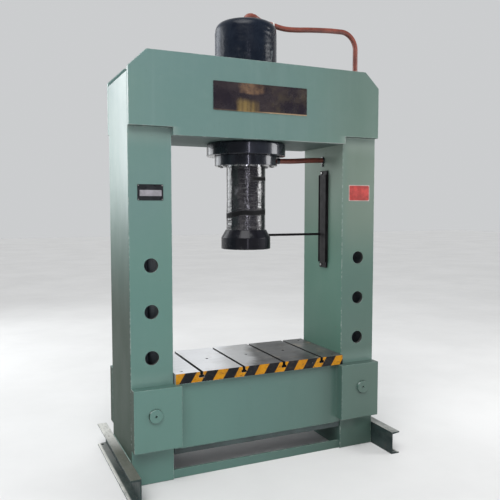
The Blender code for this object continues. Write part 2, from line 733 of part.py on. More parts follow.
def make_pointer():
    """A flat bar from the platen's cone to the travel scale, stepped to a tongue in its slot."""
    low = PLATEN_RIM_Z + POINTER_ABOVE_RIM
    high = low + POINTER_HEIGHT
    tip = SCALE_FACE + SCALE_SLOT_DEPTH - POINTER_TIP_CLEARANCE
    step = tip - POINTER_TONGUE_LENGTH
    half, tongue = POINTER_THICKNESS / 2, POINTER_TONGUE / 2
    root = cone_radius(low) + 2 * SEAT
    outline = [(root, -half), (step, -half), (step, -tongue), (tip, -tongue)]
    outline += [(x, -y) for x, y in reversed(outline)]
    pointer = add_prism("travel_pointer", outline, "Z", (low, high), BLACK_PLASTIC)
    lean = cone_radius(low) - cone_radius(high)
    for vertex in pointer.data.vertices:
        if vertex.co.z > (low + high) / 2 and vertex.co.x < (root + step) / 2:
            vertex.co.x -= lean
    return pointer


def make_ram():
    """Everything that the cylinder drives, on one parent at the middle of the platen's face."""
    parent = bpy.data.objects.new("ram", None)
    parent.location = (0, 0, PLATEN_BOTTOM_Z)
    bpy.context.scene.collection.objects.link(parent)
    nut_low = PISTON_TOP_Z + SEAT
    nut_bore = PISTON_THREAD_DIAMETER + 2 * SEAT
    nut_outer = PISTON_THREAD_DIAMETER + 2 * PISTON_NUT_WIDTH
    nut_high = nut_low + PISTON_NUT_HEIGHT
    middle = (PISTON_BOTTOM_Z + PISTON_TOP_Z) / 2
    seal_half = PISTON_GROOVE_HEIGHT / 2 - SEAT
    seal_inner = BORE_DIAMETER - 2 * (RUNNING_CLEARANCE + PISTON_GROOVE - SEAT)
    seal_outer = BORE_DIAMETER - 2 * SEAT
    wrap_inner = ROD_DIAMETER + 2 * ROD_WRAP_STAND_OFF
    wrap_outer = wrap_inner + 2 * WRAP_THICKNESS
    wrap_low, wrap_high = PLATEN_TOP_Z + SEAT, GLAND_BOTTOM_Z - ROD_WRAP_GAP
    pieces = [
        add_turned("piston_rod", rod_profile(), CHROME),
        add_turned("piston", piston_profile(), STEEL),
        add_ring("piston_seal", seal_inner, seal_outer, middle - seal_half, middle + seal_half, RUBBER),
        add_ring("piston_nut", nut_bore, nut_outer, nut_low, nut_high, STEEL),
        add_turned("platen", platen_profile(), DARK_STEEL),
        add_ring("rod_wrap", wrap_inner, wrap_outer, wrap_low, wrap_high, FILM),
        make_pointer(),
    ]
    for piece in pieces:
        piece.parent = parent
        piece.matrix_parent_inverse = Matrix.Translation(parent.location).inverted()


def scale_outline():
    """The scale's housing in plan, with the pointer's slot open to the left."""
    back = INNER - SEAT
    front, rear = -SCALE_FORWARD - SCALE_WIDTH / 2, -SCALE_FORWARD + SCALE_WIDTH / 2
    half = SCALE_SLOT / 2
    floor = SCALE_FACE + SCALE_SLOT_DEPTH
    slot = [(SCALE_FACE, half), (floor, half), (floor, -half), (SCALE_FACE, -half)]
    return [(back, front), (back, rear), (SCALE_FACE, rear), *slot, (SCALE_FACE, front)]


def make_scale():
    """The slotted housing, with a thin tab past each end that its screw goes through."""
    low, high = SCALE_BOTTOM_Z + SCALE_LOWER_TAB, SCALE_TOP_Z - SCALE_UPPER_TAB
    housing = add_prism("travel_scale", scale_outline(), "Z", (low, high), BLACK_PLASTIC)
    back = INNER - SEAT
    across = (-SCALE_FORWARD - SCALE_TAB_WIDTH / 2, -SCALE_FORWARD + SCALE_TAB_WIDTH / 2)
    for height in ((SCALE_BOTTOM_Z, low + OVERRUN), (high - OVERRUN, SCALE_TOP_Z)):
        tab = add_block("travel_scale_tab", (back - SCALE_TAB_THICKNESS, back), across, height, BLACK_PLASTIC)
        join(housing, tab)


def add_pipe(name, route, diameter, look):
    """A round bar along a route, with closed ends."""
    curve = bpy.data.curves.new(name, "CURVE")
    curve.dimensions = "3D"
    curve.bevel_depth = diameter / 2
    curve.bevel_resolution = PIPE_BEVEL_STEPS
    curve.use_fill_caps = True
    spline = curve.splines.new("POLY")
    spline.points.add(len(route) - 1)
    for point, place in zip(spline.points, route):
        point.co = (*place, 1.0)
    obj = bpy.data.objects.new(name, curve)
    bpy.context.scene.collection.objects.link(obj)
    give_material(obj, look)
    return obj


def smooth_through(points):
    """A smooth curve through the points, with ROUTE_STEPS pieces between each two."""
    padded = [2 * points[0] - points[1], *points, 2 * points[-1] - points[-2]]
    route = []
    for before, here, after, beyond in zip(padded, padded[1:], padded[2:], padded[3:]):
        for step in range(ROUTE_STEPS):
            t = step / ROUTE_STEPS
            straight = here * 2 + (after - before) * t
            square = (before * 2 - here * 5 + after * 4 - beyond) * t**2
            cube = (here * 3 - before - after * 3 + beyond) * t**3
            route.append((straight + square + cube) / 2)
    return route + [points[-1]]


def upper_pipe_route():
    """From the elbow across the head, over the right column's outer side and down to the clamp."""
    lead = Vector((ELBOW_REACH + SEAT, 0, CAP_TOP_Z + ELBOW_RISE))
    start = lead + Vector((UPPER_PIPE_LEAD, 0, 0))
    way = UPPER_PIPE_X - PIPE_BEND - start.x
    run = []
    for across, back, rise in UPPER_PIPE_SHARES:
        height = CAP_TOP_Z + rise * ELBOW_RISE
        run.append(Vector((start.x + across * way, back * UPPER_PIPE_BACK, height)))
    route = [lead] + smooth_through(run)
    last = route[-1]
    centre = (last.x, last.z - PIPE_BEND)
    bend = arc(centre, PIPE_BEND, math.pi / 2, 0)
    route += [Vector((x, UPPER_PIPE_BACK, z)) for x, z in bend[1:]]
    route.append(Vector((UPPER_PIPE_X, UPPER_PIPE_BACK, UPPER_PIPE_END_Z)))
    return route


def elbow_route():
    """Up out of the cap's boss and over to the right."""
    top = CAP_TOP_Z + ELBOW_RISE
    radius = ELBOW_REACH - FITTING_DIAMETER / 4
    centre = (radius, top - radius)
    rise = [(0, CAP_TOP_Z + ELBOW_BOSS_HEIGHT + SEAT)]
    rise += arc(centre, radius, math.pi, math.pi / 2)
    rise.append((ELBOW_REACH, top))
    return [Vector((x, 0, z)) for x, z in rise]


def make_fitting(name, place, axis, diameter, low, high, look):
    """A round collar along an axis, between two places on it."""
    radius = diameter / 2
    bm = turned_mesh([(0, low), (radius, low), (radius, high), (0, high)], SMALL_SIDES)
    across = Vector([0 if letter == axis else value for letter, value in zip("XYZ", place)])
    bmesh.ops.transform(bm, matrix=Matrix.Translation(across) @ axis_turn(axis), verts=bm.verts)
    return add_object(name, bm, look, smooth=True)


def make_upper_pipe():
    boss_low = CAP_TOP_Z + SEAT
    boss_high = CAP_TOP_Z + ELBOW_BOSS_HEIGHT
    make_fitting("cap_port_boss", (0, 0, 0), "Z", ELBOW_BOSS_DIAMETER, boss_low, boss_high, DARK_STEEL)
    add_pipe("cap_elbow", elbow_route(), FITTING_DIAMETER, PRIMER)
    add_pipe("upper_pipe", upper_pipe_route(), PIPE_DIAMETER, PRIMER)
    end = UPPER_PIPE_END_Z - SEAT
    place = (UPPER_PIPE_X, UPPER_PIPE_BACK, 0)
    make_fitting("upper_pipe_union", place, "Z", UNION_DIAMETER, end - UNION_LENGTH, end, DARK_STEEL)
    clamp = add_block(
        "upper_pipe_clamp",
        (OUTER + SEAT, UPPER_PIPE_X + PIPE_DIAMETER / 2 + CLAMP_COVER),
        (UPPER_PIPE_BACK - CLAMP_WIDTH / 2, UPPER_PIPE_BACK + CLAMP_WIDTH / 2),
        (CLAMP_Z, CLAMP_Z + CLAMP_HEIGHT),
        DARK_STEEL,
    )
    low, high = CLAMP_Z - OVERRUN, CLAMP_Z + CLAMP_HEIGHT + OVERRUN
    drill(clamp, place, "Z", PIPE_HOLE_DIAMETER, low, high, SMALL_SIDES)


def make_lower_pipe():
    """From the gland, rising a little, through the right column to a union on its outer side."""
    place = (0, -LOWER_PIPE_FORWARD, LOWER_PIPE_Z)
    gland = math.sqrt((GLAND_DIAMETER / 2) ** 2 - LOWER_PIPE_FORWARD**2) + SEAT
    near = gland + FITTING_LENGTH
    make_fitting("lower_pipe_fitting", place, "X", FITTING_DIAMETER, gland, near, DARK_STEEL)
    far = OUTER + SEAT
    start = near + SEAT + LOWER_PIPE_LEAD
    way = INNER - LOWER_PIPE_LEAD - start
    run = []
    for across, rise in LOWER_PIPE_SHARES:
        run.append(Vector((start + across * way, place[1], LOWER_PIPE_Z + rise * LOWER_PIPE_RISE)))
    route = [Vector((near + SEAT, place[1], LOWER_PIPE_Z))]
    route += smooth_through(run)
    route.append(Vector((far, place[1], LOWER_PIPE_HOLE_Z)))
    add_pipe("lower_pipe", route, PIPE_DIAMETER, PRIMER)
    place = (0, -LOWER_PIPE_FORWARD, LOWER_PIPE_HOLE_Z)
    union = (far + SEAT, far + SEAT + UNION_LENGTH)
    make_fitting("lower_pipe_union", place, "X", UNION_DIAMETER, *union, DARK_STEEL)


def build():
    clear_scene()
    make_column("left_column", -1)
    make_column("right_column", 1)
    make_foot("left_foot", -1)
    make_foot("right_foot", 1)
    make_ties()
    make_head()
    make_bed_box()
    make_ears()
    make_table()
    make_pin("left_pin", -1)
    make_pin("right_pin", 1)
    make_cylinder()
    make_ram()
    make_scale()
    make_upper_pipe()
    make_lower_pipe()


build()
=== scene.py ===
import math

import bmesh
import bpy
from mathutils import Euler, Matrix, Vector, noise

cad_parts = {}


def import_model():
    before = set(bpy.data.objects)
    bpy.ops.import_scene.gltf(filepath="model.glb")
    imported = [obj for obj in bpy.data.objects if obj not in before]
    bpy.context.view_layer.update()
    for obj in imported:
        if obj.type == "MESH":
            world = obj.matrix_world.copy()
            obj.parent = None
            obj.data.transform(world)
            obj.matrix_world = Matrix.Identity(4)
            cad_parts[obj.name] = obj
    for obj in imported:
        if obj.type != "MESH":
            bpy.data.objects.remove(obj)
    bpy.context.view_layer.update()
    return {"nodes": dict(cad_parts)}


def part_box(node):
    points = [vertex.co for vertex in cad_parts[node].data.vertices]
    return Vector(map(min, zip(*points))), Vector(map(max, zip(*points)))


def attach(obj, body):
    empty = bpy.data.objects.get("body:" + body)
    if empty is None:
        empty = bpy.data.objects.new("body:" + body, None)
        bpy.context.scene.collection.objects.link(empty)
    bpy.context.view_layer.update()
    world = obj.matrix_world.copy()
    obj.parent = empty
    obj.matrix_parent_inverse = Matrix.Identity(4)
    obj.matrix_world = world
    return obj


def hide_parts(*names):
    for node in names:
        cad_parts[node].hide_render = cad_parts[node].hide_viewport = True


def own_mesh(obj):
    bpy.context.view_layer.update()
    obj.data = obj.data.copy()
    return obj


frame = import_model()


# Sizes that the frame fixes
def middle(node):
    low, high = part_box(node)
    return (low + high) / 2


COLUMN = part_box("right_column_front_plate")
INNER, OUTER = COLUMN[0].x, COLUMN[1].x
FACE = -COLUMN[0].y
WALL = COLUMN[1].y - COLUMN[0].y
COLUMN_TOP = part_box("right_column_cap")[1].z
COLUMN_X = (INNER + OUTER) / 2
PIN_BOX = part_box("right_pin")
PIN_RADIUS = (PIN_BOX[1].z - PIN_BOX[0].z) / 2
PIN_Z = middle("right_pin").z
PIN_HALF = PIN_BOX[1].y
HOLE_RADIUS = PIN_RADIUS + 0.0005
HOLE_HEIGHTS = [PIN_Z + rise for rise in (0, 0.309, 0.567, 0.825)]
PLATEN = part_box("platen")
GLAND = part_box("gland_ring")
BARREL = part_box("cylinder_barrel")
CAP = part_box("cylinder_cap")
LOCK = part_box("cylinder_lock_ring")
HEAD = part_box("head_front_plate")
HEAD_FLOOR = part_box("head_bottom_plate")
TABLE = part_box("table_plate")
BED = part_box("bed_front_plate")
BED_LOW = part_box("bed_bottom_plate")
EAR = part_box("bed_right_front_ear")
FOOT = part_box("right_foot")
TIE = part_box("front_tie")
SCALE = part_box("travel_scale")
PIPE_Y, PIPE_Z = middle("lower_pipe").y, middle("lower_pipe_union").z
PIPE_RADIUS = 0.0165
ROD_RADIUS = 0.120
SEAT = 0.0003

# What the photograph shows on the surfaces
SIGN = (-0.322, 0.276, 2.098, 2.259)
BAND_PITCH, BAND_START, BAND_FOOT, BAND_LEAN = 0.1325, 0.467, 0.5587, 0.62
LOWER_TAPE = (1.500, 1.510, 1.532, 1.546)
UPPER_TAPE = (1.714, 1.722, 1.736, 1.746)
VIEW_X, VIEW_Y = 0.911, 0.413


# Materials
class Nodes:
    """Short calls for the nodes of one material or world."""

    def __init__(self, owner, coordinates):
        owner.use_nodes = True
        self.tree = owner.node_tree
        self.tree.nodes.clear()
        self.source = self.node("TexCoord").outputs
        self.place = self.source[coordinates]

    def feed(self, socket, value):
        if isinstance(value, bpy.types.NodeSocket):
            self.tree.links.new(value, socket)
        elif socket.type == "RGBA" and len(value) == 3:
            socket.default_value = (*value, 1.0)
        else:
            socket.default_value = value

    def node(self, kind, **inputs):
        made = self.tree.nodes.new("ShaderNode" + kind)
        for name, value in inputs.items():
            self.feed(made.inputs[name.replace("_", " ")], value)
        return made

    def math(self, operation, first, second=0.0):
        node = self.node("Math")
        node.operation = operation
        for socket, value in zip(node.inputs, (first, second)):
            self.feed(socket, value)
        return node.outputs[0]

    def add(self, first, second):
        return self.math("ADD", first, second)

    def minus(self, first, second):
        return self.math("SUBTRACT", first, second)

    def most(self, first, second):
        return self.math("MAXIMUM", first, second)

    def times(self, *values):
        total = values[0]
        for value in values[1:]:
            total = self.math("MULTIPLY", total, value)
        return total

    def levels(self, value, low, high, to_low=0.0, to_high=1.0):
        node = self.node("MapRange", Value=value, From_Min=low, From_Max=high, To_Min=to_low, To_Max=to_high)
        node.interpolation_type = "SMOOTHSTEP"
        return node.outputs["Result"]

    def fade(self, value, low, high):
        return self.levels(value, low, high, 1.0, 0.0)

    def mix(self, share, first, second):
        node = self.node("Mix", Factor=share)
        node.data_type = "RGBA"
        self.feed(node.inputs[6], first)
        self.feed(node.inputs[7], second)
        return node.outputs[2]

    def part(self, letter, vector=None):
        return self.node("SeparateXYZ", Vector=vector or self.place).outputs["XYZ".index(letter)]

    def ramp(self, letter, low, high, to_low=0.0, to_high=1.0):
        """Levels by the place along one axis."""
        return self.levels(self.part(letter), low, high, to_low, to_high)


class Shade(Nodes):
    """One Principled material, whose colour gathers tones one by one."""

    def __init__(self, name, **values):
        self.material = bpy.data.materials.new(name)
        super().__init__(self.material, "Object")
        self.shader = self.node("BsdfPrincipled", **values)
        self.node("OutputMaterial", Surface=self.shader.outputs[0])

    def set(self, socket, value):
        self.feed(self.shader.inputs[socket], value)

    def noise(self, scale, detail, rough, stretch=(1, 1, 1), shift=(0, 0, 0), twist=0.0):
        place = self.node("Mapping", Scale=stretch, Location=shift, Vector=self.place).outputs[0]
        made = self.node("TexNoise", Scale=scale, Detail=detail, Roughness=rough, Distortion=twist, Vector=place)
        return made.outputs["Fac"]

    def blot(self, scale, detail, rough, low, high, to_low=0.0, to_high=1.0, **how):
        """Levels by a noise."""
        return self.levels(self.noise(scale, detail, rough, **how), low, high, to_low, to_high)

    def sway(self, value, reach):
        """A noise's value as a shift of either sign."""
        return self.times(self.minus(value, 0.5), reach)

    def off_middle(self):
        """The distance from the middle plane, to either side."""
        return self.math("ABSOLUTE", self.part("X"))

    def across(self, x):
        """The place from left to right as the front left view shows it, from an x that may be bent."""
        return self.minus(self.times(x, VIEW_X), self.times(self.part("Y"), VIEW_Y))

    def faces(self, letter, low, high, to_low=0.0, to_high=1.0):
        """Levels by one axis of the way that the surface faces."""
        return self.levels(self.part(letter, self.source["Normal"]), low, high, to_low, to_high)

    def tint(self, share, tone):
        """Lays a tone over the colour so far."""
        self.colour = self.mix(share, self.colour, tone)

    def bump(self, height, distance, strength, after=None):
        made = self.node("Bump", Height=height, Distance=distance, Strength=strength)
        if after:
            self.feed(made.inputs["Normal"], after)
        return made.outputs[0]

    def done(self, rough, normal):
        for socket, value in (("Base Color", self.colour), ("Roughness", rough), ("Normal", normal)):
            self.set(socket, value)
        return self.material


def enamel(name, edge=False):
    """Grey-green machine enamel: cloudy, faintly run-marked, dusty where it faces up, darker near the floor with dirt
    and painted shade, and with painted shade, light and highlights laid on by place.
    """
    s = Shade(name, Coat_Weight=0.30, Coat_Roughness=0.14, Coat_IOR=1.5)
    cloud = s.blot(0.9, 3, 0.5, 0.3, 0.7, shift=(3, 1, 7))
    s.colour = s.mix(cloud, (0.142, 0.250, 0.212), (0.140, 0.238, 0.222))
    warm = s.levels(s.add(s.part("X"), s.noise(1.7, 3, 0.6, shift=(0, 6, 2))), 0.1, 1.5, 0.0, 0.55)
    s.tint(warm, (0.148, 0.236, 0.192))
    s.tint(s.blot(17, 6, 0.65, 0.45, 0.75, 0.0, 0.14), (0.200, 0.290, 0.262))
    runs = s.blot(1.0, 5, 0.6, 0.52, 0.8, 0.0, 0.16, stretch=(19, 19, 0.7), shift=(5, 9, 0))
    s.tint(runs, (0.225, 0.315, 0.290))
    smear = s.blot(1.0, 4, 0.6, 0.58, 0.82, 0.0, 0.32, stretch=(7, 7, 1.9), shift=(1, 2, 8))
    s.tint(smear, (0.098, 0.160, 0.140))
    spots = s.times(s.blot(95, 2, 0.5, 0.66, 0.74), s.blot(3.1, 3, 0.6, 0.46, 0.66, shift=(4, 4, 4)), 0.4)
    s.tint(spots, (0.070, 0.105, 0.092))

    # Dust on top; darker near the floor with dirt and painted shade, most on the right; darker at the foot of the
    # ties
    upward = s.faces("Z", 0.55, 0.95)
    dust = s.times(upward, s.blot(9, 6, 0.7, 0.22, 0.78, 0.5, 0.88, shift=(2, 2, 0)))
    s.tint(dust, (0.124, 0.124, 0.106))
    ledge = s.times(upward, s.ramp("Z", 0.50, 0.55), s.ramp("Z", 0.75, 0.80, 0.9, 0.0))
    s.tint(ledge, (0.046, 0.050, 0.047))
    # Painted shade with some dirt: darker near the floor, most on the right
    ragged = s.add(s.part("Z"), s.sway(s.noise(3.5, 5, 0.65), 0.30))
    low = s.times(s.levels(ragged, 0.05, 0.24, 0.85, 0.0), s.ramp("X", -0.2, 0.85, 0.12, 1.0))
    s.tint(low, (0.038, 0.056, 0.052))
    tie = s.times(s.ramp("Z", 0.056, 0.075, 0.32, 0.0), s.fade(s.off_middle(), INNER - 0.03, INNER))
    s.tint(tie, (0.036, 0.050, 0.032))

    # Slow changes over the whole press, all painted shade: a deeper green lower down, browner to the right and low,
    # darker undersides
    s.tint(s.ramp("Z", 0.9, 1.75, 0.55, 0.0), (0.072, 0.205, 0.170))
    along = s.ramp("X", -0.8, 0.9)
    lower = s.times(s.ramp("Z", 0.45, 1.7, 0.26, 0.0), s.add(s.times(along, 0.65), 0.35))
    s.tint(s.add(s.times(along, 0.20), lower), (0.028, 0.020, 0.014))
    # Painted shade on faces that look down
    under = s.faces("Z", -0.9, -0.4, 0.85, 0.0)
    s.tint(under, (0.043, 0.068, 0.062))

    # Sides that face left: painted shade on the left column's outer side and on the right column's inner side, with a
    # painted glare high on that inner side
    left = s.faces("X", -0.9, -0.5, 1.0, 0.0)
    # Painted shade on the left column's outer side, darkest low down
    shade = s.times(left, s.ramp("X", -0.62, -0.55, 1.0, 0.0), s.ramp("Z", 0.85, 1.95, 0.96, 0.0))
    s.tint(shade, (0.006, 0.022, 0.008))
    # Painted shade on the right column's inner side, darker and greener
    inner_side_shade = s.times(left, s.ramp("X", 0.45, 0.55, 0.0, 0.42), s.ramp("Z", 0.56, 0.64))
    s.tint(inner_side_shade, (0.034, 0.148, 0.088))
    # Painted glare high on the right column's inner side
    glare = s.times(left, s.ramp("X", 0.45, 0.55, 0.0, 0.75), s.ramp("Z", 1.35, 1.95))
    s.tint(glare, (0.255, 0.315, 0.275))

    # Painted shade on the right-hand fronts, warmer and browner on the right column between 1.15 and 2.0 m; painted
    # light on both fronts below the head's lap and above the ears; a painted highlight on faces that lean left and up
    front = s.faces("Y", -0.9, -0.5, 1.0, 0.0)
    # Painted shade: the right column's band between 1.15 and 2.0 m gets a warmer tone, the fronts elsewhere go darker
    warm_shade_band = s.times(s.ramp("Z", 1.15, 1.5), s.ramp("Z", 1.93, 2.0, 1.0, 0.0))
    s.tint(s.times(front, s.ramp("X", 0.30, 0.62, 0.0, 0.13), s.minus(1.0, warm_shade_band)), (0.030, 0.030, 0.0))
    s.tint(s.times(warm_shade_band, s.ramp("X", 0.50, 0.62, 0.0, 0.5)), (0.165, 0.195, 0.150))
    aside, top = s.off_middle(), EAR[1].z
    # Painted glare on the fronts just below the head's lap
    painted_glare_below_lap = s.times(s.ramp("Z", 1.86, 1.97), s.ramp("Z", 1.99, 1.995, 0.34, 0.0), s.levels(aside, 0.50, 0.56))
    s.tint(s.times(front, painted_glare_below_lap), (0.30, 0.36, 0.32))
    # Painted light on the column fronts just above the ears
    painted_light_above_ear = s.times(s.ramp("Z", top - 0.004, top), s.ramp("Z", top, top + 0.10, 0.36, 0.0))
    s.tint(s.times(front, painted_light_above_ear, s.levels(aside, INNER - 0.01, INNER)), (0.24, 0.36, 0.32))
    # Painted highlight on faces that lean left and up
    painted_highlight_slope = s.times(s.faces("X", -0.65, -0.55, 1.0, 0.0), s.faces("Z", 0.4, 0.6, 0.0, 0.6))
    s.tint(painted_highlight_slope, (0.40, 0.46, 0.44))

    if edge:
        # Edges lighter with wear, the tone also standing as a painted edge highlight; a painted glint on the right
        # lap's lower edge
        wear_and_highlight = s.blot(42, 6, 0.72, 0.46, 0.62, 0.0, 0.55, shift=(6, 0, 2))
        painted_glint_near_lap = s.times(s.ramp("Z", 1.935, 1.945), s.ramp("Z", 1.984, 1.987, 0.75, 0.0), s.ramp("X", 0.1, 0.2))
        s.tint(s.most(wear_and_highlight, painted_glint_near_lap), (0.33, 0.37, 0.345))
    else:
        chips = s.times(s.blot(58, 4, 0.6, 0.70, 0.715, shift=(8, 3, 1)), s.blot(4.5, 2, 0.5, 0.5, 0.6))
        s.tint(chips, (0.10, 0.075, 0.065))
    dull = s.most(s.most(shade, low), s.most(under, s.times(inner_side_shade, 2.0)))
    gloss = s.blot(4.2, 5, 0.62, 0.3, 0.75, 0.30, 0.42, stretch=(1, 1, 0.5))
    s.set("Coat Weight", s.levels(dull, 0.1, 0.7, 0.30, 0.01))
    return s.done(
        s.add(gloss, s.add(s.times(dust, 0.32), s.times(dull, 0.35))),
        s.bump(s.noise(2.6, 3, 0.5), 0.006, 0.35, after=s.bump(s.noise(240, 2, 0.5), 0.00035, 0.55)),
    )


def worn_foot():
    """Rolled channel: thin dirty enamel on its web, rubbed to bright dusty metal on the flanges' faces, made brighter
    towards the back and at the outer edge by painted light.
    """
    s = Shade("foot_paint", Specular_IOR_Level=0.28)
    cloud = s.blot(5, 5, 0.65, 0.34, 0.68)
    s.colour = s.mix(cloud, (0.014, 0.026, 0.026), (0.034, 0.054, 0.051))
    s.tint(s.blot(1.0, 5, 0.7, 0.5, 0.75, 0.0, 0.5, stretch=(14, 3, 14)), (0.110, 0.122, 0.110))
    tall = s.blot(24, 5, 0.7, 0.62, 0.74, 0.0, 0.7, shift=(3, 3, 0))
    s.tint(tall, (0.060, 0.042, 0.034))
    upward = s.faces("Z", 0.5, 0.9)
    scraped = s.blot(1.0, 6, 0.7, 0.30, 0.56, 0.25, 1.0, stretch=(10, 3.2, 10), shift=(0, 4, 0))
    # Painted light: the flanges' faces grow brighter towards the back and at the lower flange's outer edge, over the
    # rubbed metal
    painted_light_far = s.ramp("Y", -0.10, 0.34, 0.04, 1.0)
    right = s.ramp("X", -0.1, 0.1)
    outer = s.levels(s.off_middle(), FOOT[1].x - 0.022, FOOT[1].x - 0.010)
    near = s.times(upward, s.minus(1.0, s.most(right, painted_light_far)), s.ramp("Z", 0.05, 0.10))
    s.tint(s.times(near, 0.8), (0.078, 0.082, 0.062))
    bare = s.times(s.most(s.times(right, 0.42), painted_light_far), s.ramp("Z", 0.05, 0.10, 0.25, 1.0))
    bare = s.most(bare, s.times(outer, s.ramp("Z", 0.05, 0.10, 1.0, 0.0)))
    rubbed = s.times(upward, scraped, bare)
    s.tint(rubbed, (0.70, 0.70, 0.66))
    grit = s.times(upward, s.blot(70, 4, 0.65, 0.58, 0.70), 0.7)
    s.tint(grit, (0.16, 0.14, 0.12))
    s.set("Metallic", s.times(rubbed, 0.55))
    return s.done(
        s.add(s.blot(18, 5, 0.65, 0.3, 0.7, 0.42, 0.62), s.times(near, 0.2)),
        s.bump(s.noise(60, 5, 0.65), 0.0010, 0.6),
    )


def primer(name, wet=0.0, deep=(0.135, 0.026, 0.015), pale=(0.270, 0.062, 0.036), oil=(0.055, 0.018, 0.013)):
    """Brushed primer: blotchy, with oily darker places and painted shade on its undersides."""
    s = Shade(name, Coat_Weight=0.15 + 0.3 * wet, Coat_Roughness=0.25)
    s.colour = s.mix(s.blot(7, 6, 0.68, 0.34, 0.68), deep, pale)
    s.tint(s.blot(38, 5, 0.7, 0.52, 0.78, 0.0, 0.7), oil)
    # Painted shade on faces that look down
    under = s.faces("Z", -0.9, 0.1, 0.75 - 0.4 * wet, 0.0)
    s.tint(under, tuple(0.6 * c for c in oil))
    return s.done(s.blot(22, 4, 0.6, 0.3, 0.7, 0.38, 0.66), s.bump(s.noise(130, 4, 0.6), 0.0005, 0.6))


def dark_steel(name, tone=(0.013, 0.015, 0.021), gloss=0.2, coat=0.5, specular=0.35):
    """Blackened turned steel under oil: fine turning lines, smears and a few rubbed places."""
    s = Shade(name, Coat_Weight=coat, Coat_Roughness=0.07, Specular_IOR_Level=specular)
    smear = s.noise(1.0, 5, 0.65, stretch=(9, 9, 2.2))
    s.colour = s.mix(s.levels(smear, 0.4, 0.75), tone, tuple(2.3 * c for c in tone))
    rub = s.times(s.blot(26, 6, 0.72, 0.6, 0.72), 0.25)
    s.tint(rub, (0.16, 0.165, 0.17))
    s.set("Metallic", s.blot(5, 3, 0.5, 0.3, 0.7, 0.15, 0.4))
    lines = s.noise(1.0, 2, 0.5, stretch=(0.6, 0.6, 900))
    first = s.bump(lines, 0.00025, 0.4)
    return s.done(
        s.levels(smear, 0.3, 0.75, gloss, gloss + 0.16),
        s.bump(s.noise(6, 4, 0.6), 0.0015, 0.35, after=first),
    )


def steel(name, shade=0.6, rough=0.3, grain=(0.7, 700, 60)):
    """Bare machined steel with its tool marks and a trace of oil."""
    s = Shade(name, Metallic=0.92)
    blot = s.blot(6, 6, 0.7, 0.35, 0.7)
    s.colour = s.mix(blot, (shade * 0.82, shade * 0.82, shade * 0.80), (shade, shade, shade * 0.99))
    marks = s.noise(1.0, 2, 0.5, stretch=grain)
    return s.done(
        s.add(s.levels(marks, 0.3, 0.7, rough - 0.06, rough + 0.06), s.times(blot, 0.08)),
        s.bump(marks, 0.0002, 0.5),
    )


def table_steel():
    """The ground table: bright to the left and greyer to the right by painted reflection, with oil stains and a
    painted dark reflection to the right, and handling marks.
    """
    s = Shade("table_steel", Coat_Weight=0.06, Coat_Roughness=0.2, Specular_IOR_Level=0.2)
    edge = s.noise(2.1, 5, 0.6, twist=0.4)
    lean = s.minus(s.part("X"), s.times(s.part("Y"), 0.45))
    across = s.add(lean, s.sway(edge, 0.26))
    # Painted reflection: bright to the left and greyer to the right; to the right, oil stain with a painted dark
    # reflection
    stain_and_dark_reflection = s.levels(across, -0.04, 0.07)
    grey = s.levels(across, -0.23, -0.11)
    s.colour = s.mix(grey, (0.80, 0.81, 0.83), (0.47, 0.475, 0.48))
    s.tint(stain_and_dark_reflection, (0.046, 0.048, 0.047))
    patch = s.blot(5.5, 5, 0.65, 0.42, 0.66, shift=(7, 1, 0))
    s.tint(s.times(stain_and_dark_reflection, patch, 0.75), (0.026, 0.026, 0.027))
    clear = s.times(s.ramp("X", 0.30, 0.42), s.blot(4, 4, 0.6, 0.4, 0.6, 0.2, 0.55, shift=(3, 3, 3)))
    s.tint(clear, (0.135, 0.145, 0.140))
    brown = s.times(s.blot(9, 6, 0.72, 0.52, 0.74, shift=(1, 5, 2)), 0.55)
    s.tint(s.times(brown, s.levels(across, -0.45, 0.1, 0.25, 1.0)), (0.30, 0.24, 0.17))
    fleck = s.times(s.blot(75, 4, 0.6, 0.66, 0.74), 0.5)
    s.tint(fleck, (0.18, 0.17, 0.16))
    marks = s.noise(1.0, 3, 0.55, stretch=(3.0, 330, 40))
    s.tint(s.levels(marks, 0.5, 0.72, 0.0, 0.16), (0.30, 0.30, 0.30))
    s.set("Metallic", s.levels(stain_and_dark_reflection, 0.0, 1.0, 0.75, 0.30))
    rough = s.levels(marks, 0.3, 0.7, 0.30, 0.42)
    return s.done(
        s.add(rough, s.times(stain_and_dark_reflection, patch, 0.10)),
        s.bump(marks, 0.00025, 0.4, after=s.bump(s.noise(3, 3, 0.5), 0.002, 0.2)),
    )


def hazard():
    """Black and yellow bands on the table's end, leaning to the right and rubbed dirty."""
    s = Shade("hazard_bands", Specular_IOR_Level=0.22)
    lean = s.minus(s.part("X"), s.times(s.minus(s.part("Z"), BAND_FOOT), BAND_LEAN))
    wobble = s.sway(s.noise(14, 2, 0.5), 0.006)
    turn = s.math("FRACT", s.math("DIVIDE", s.add(s.add(lean, wobble), BAND_START), BAND_PITCH))
    yellow = s.times(s.levels(turn, 0.02, 0.05), s.fade(turn, 0.50, 0.53))
    paint = s.mix(s.blot(12, 5, 0.65, 0.35, 0.7), (0.56, 0.245, 0.005), (0.41, 0.165, 0.005))
    black = s.mix(s.blot(20, 4, 0.6, 0.4, 0.7), (0.004, 0.005, 0.008), (0.013, 0.013, 0.015))
    s.colour = s.mix(yellow, black, paint)
    dirt = s.blot(30, 6, 0.74, 0.50, 0.74, 0.0, 0.8, stretch=(1, 1, 1.6))
    s.tint(dirt, (0.048, 0.038, 0.030))
    scuff = s.blot(60, 5, 0.7, 0.68, 0.74, 0.0, 0.7, shift=(0, 0, 4))
    s.tint(scuff, (0.42, 0.41, 0.39))
    return s.done(s.blot(25, 4, 0.6, 0.3, 0.7, 0.38, 0.6), s.bump(s.noise(90, 4, 0.6), 0.0004, 0.5))


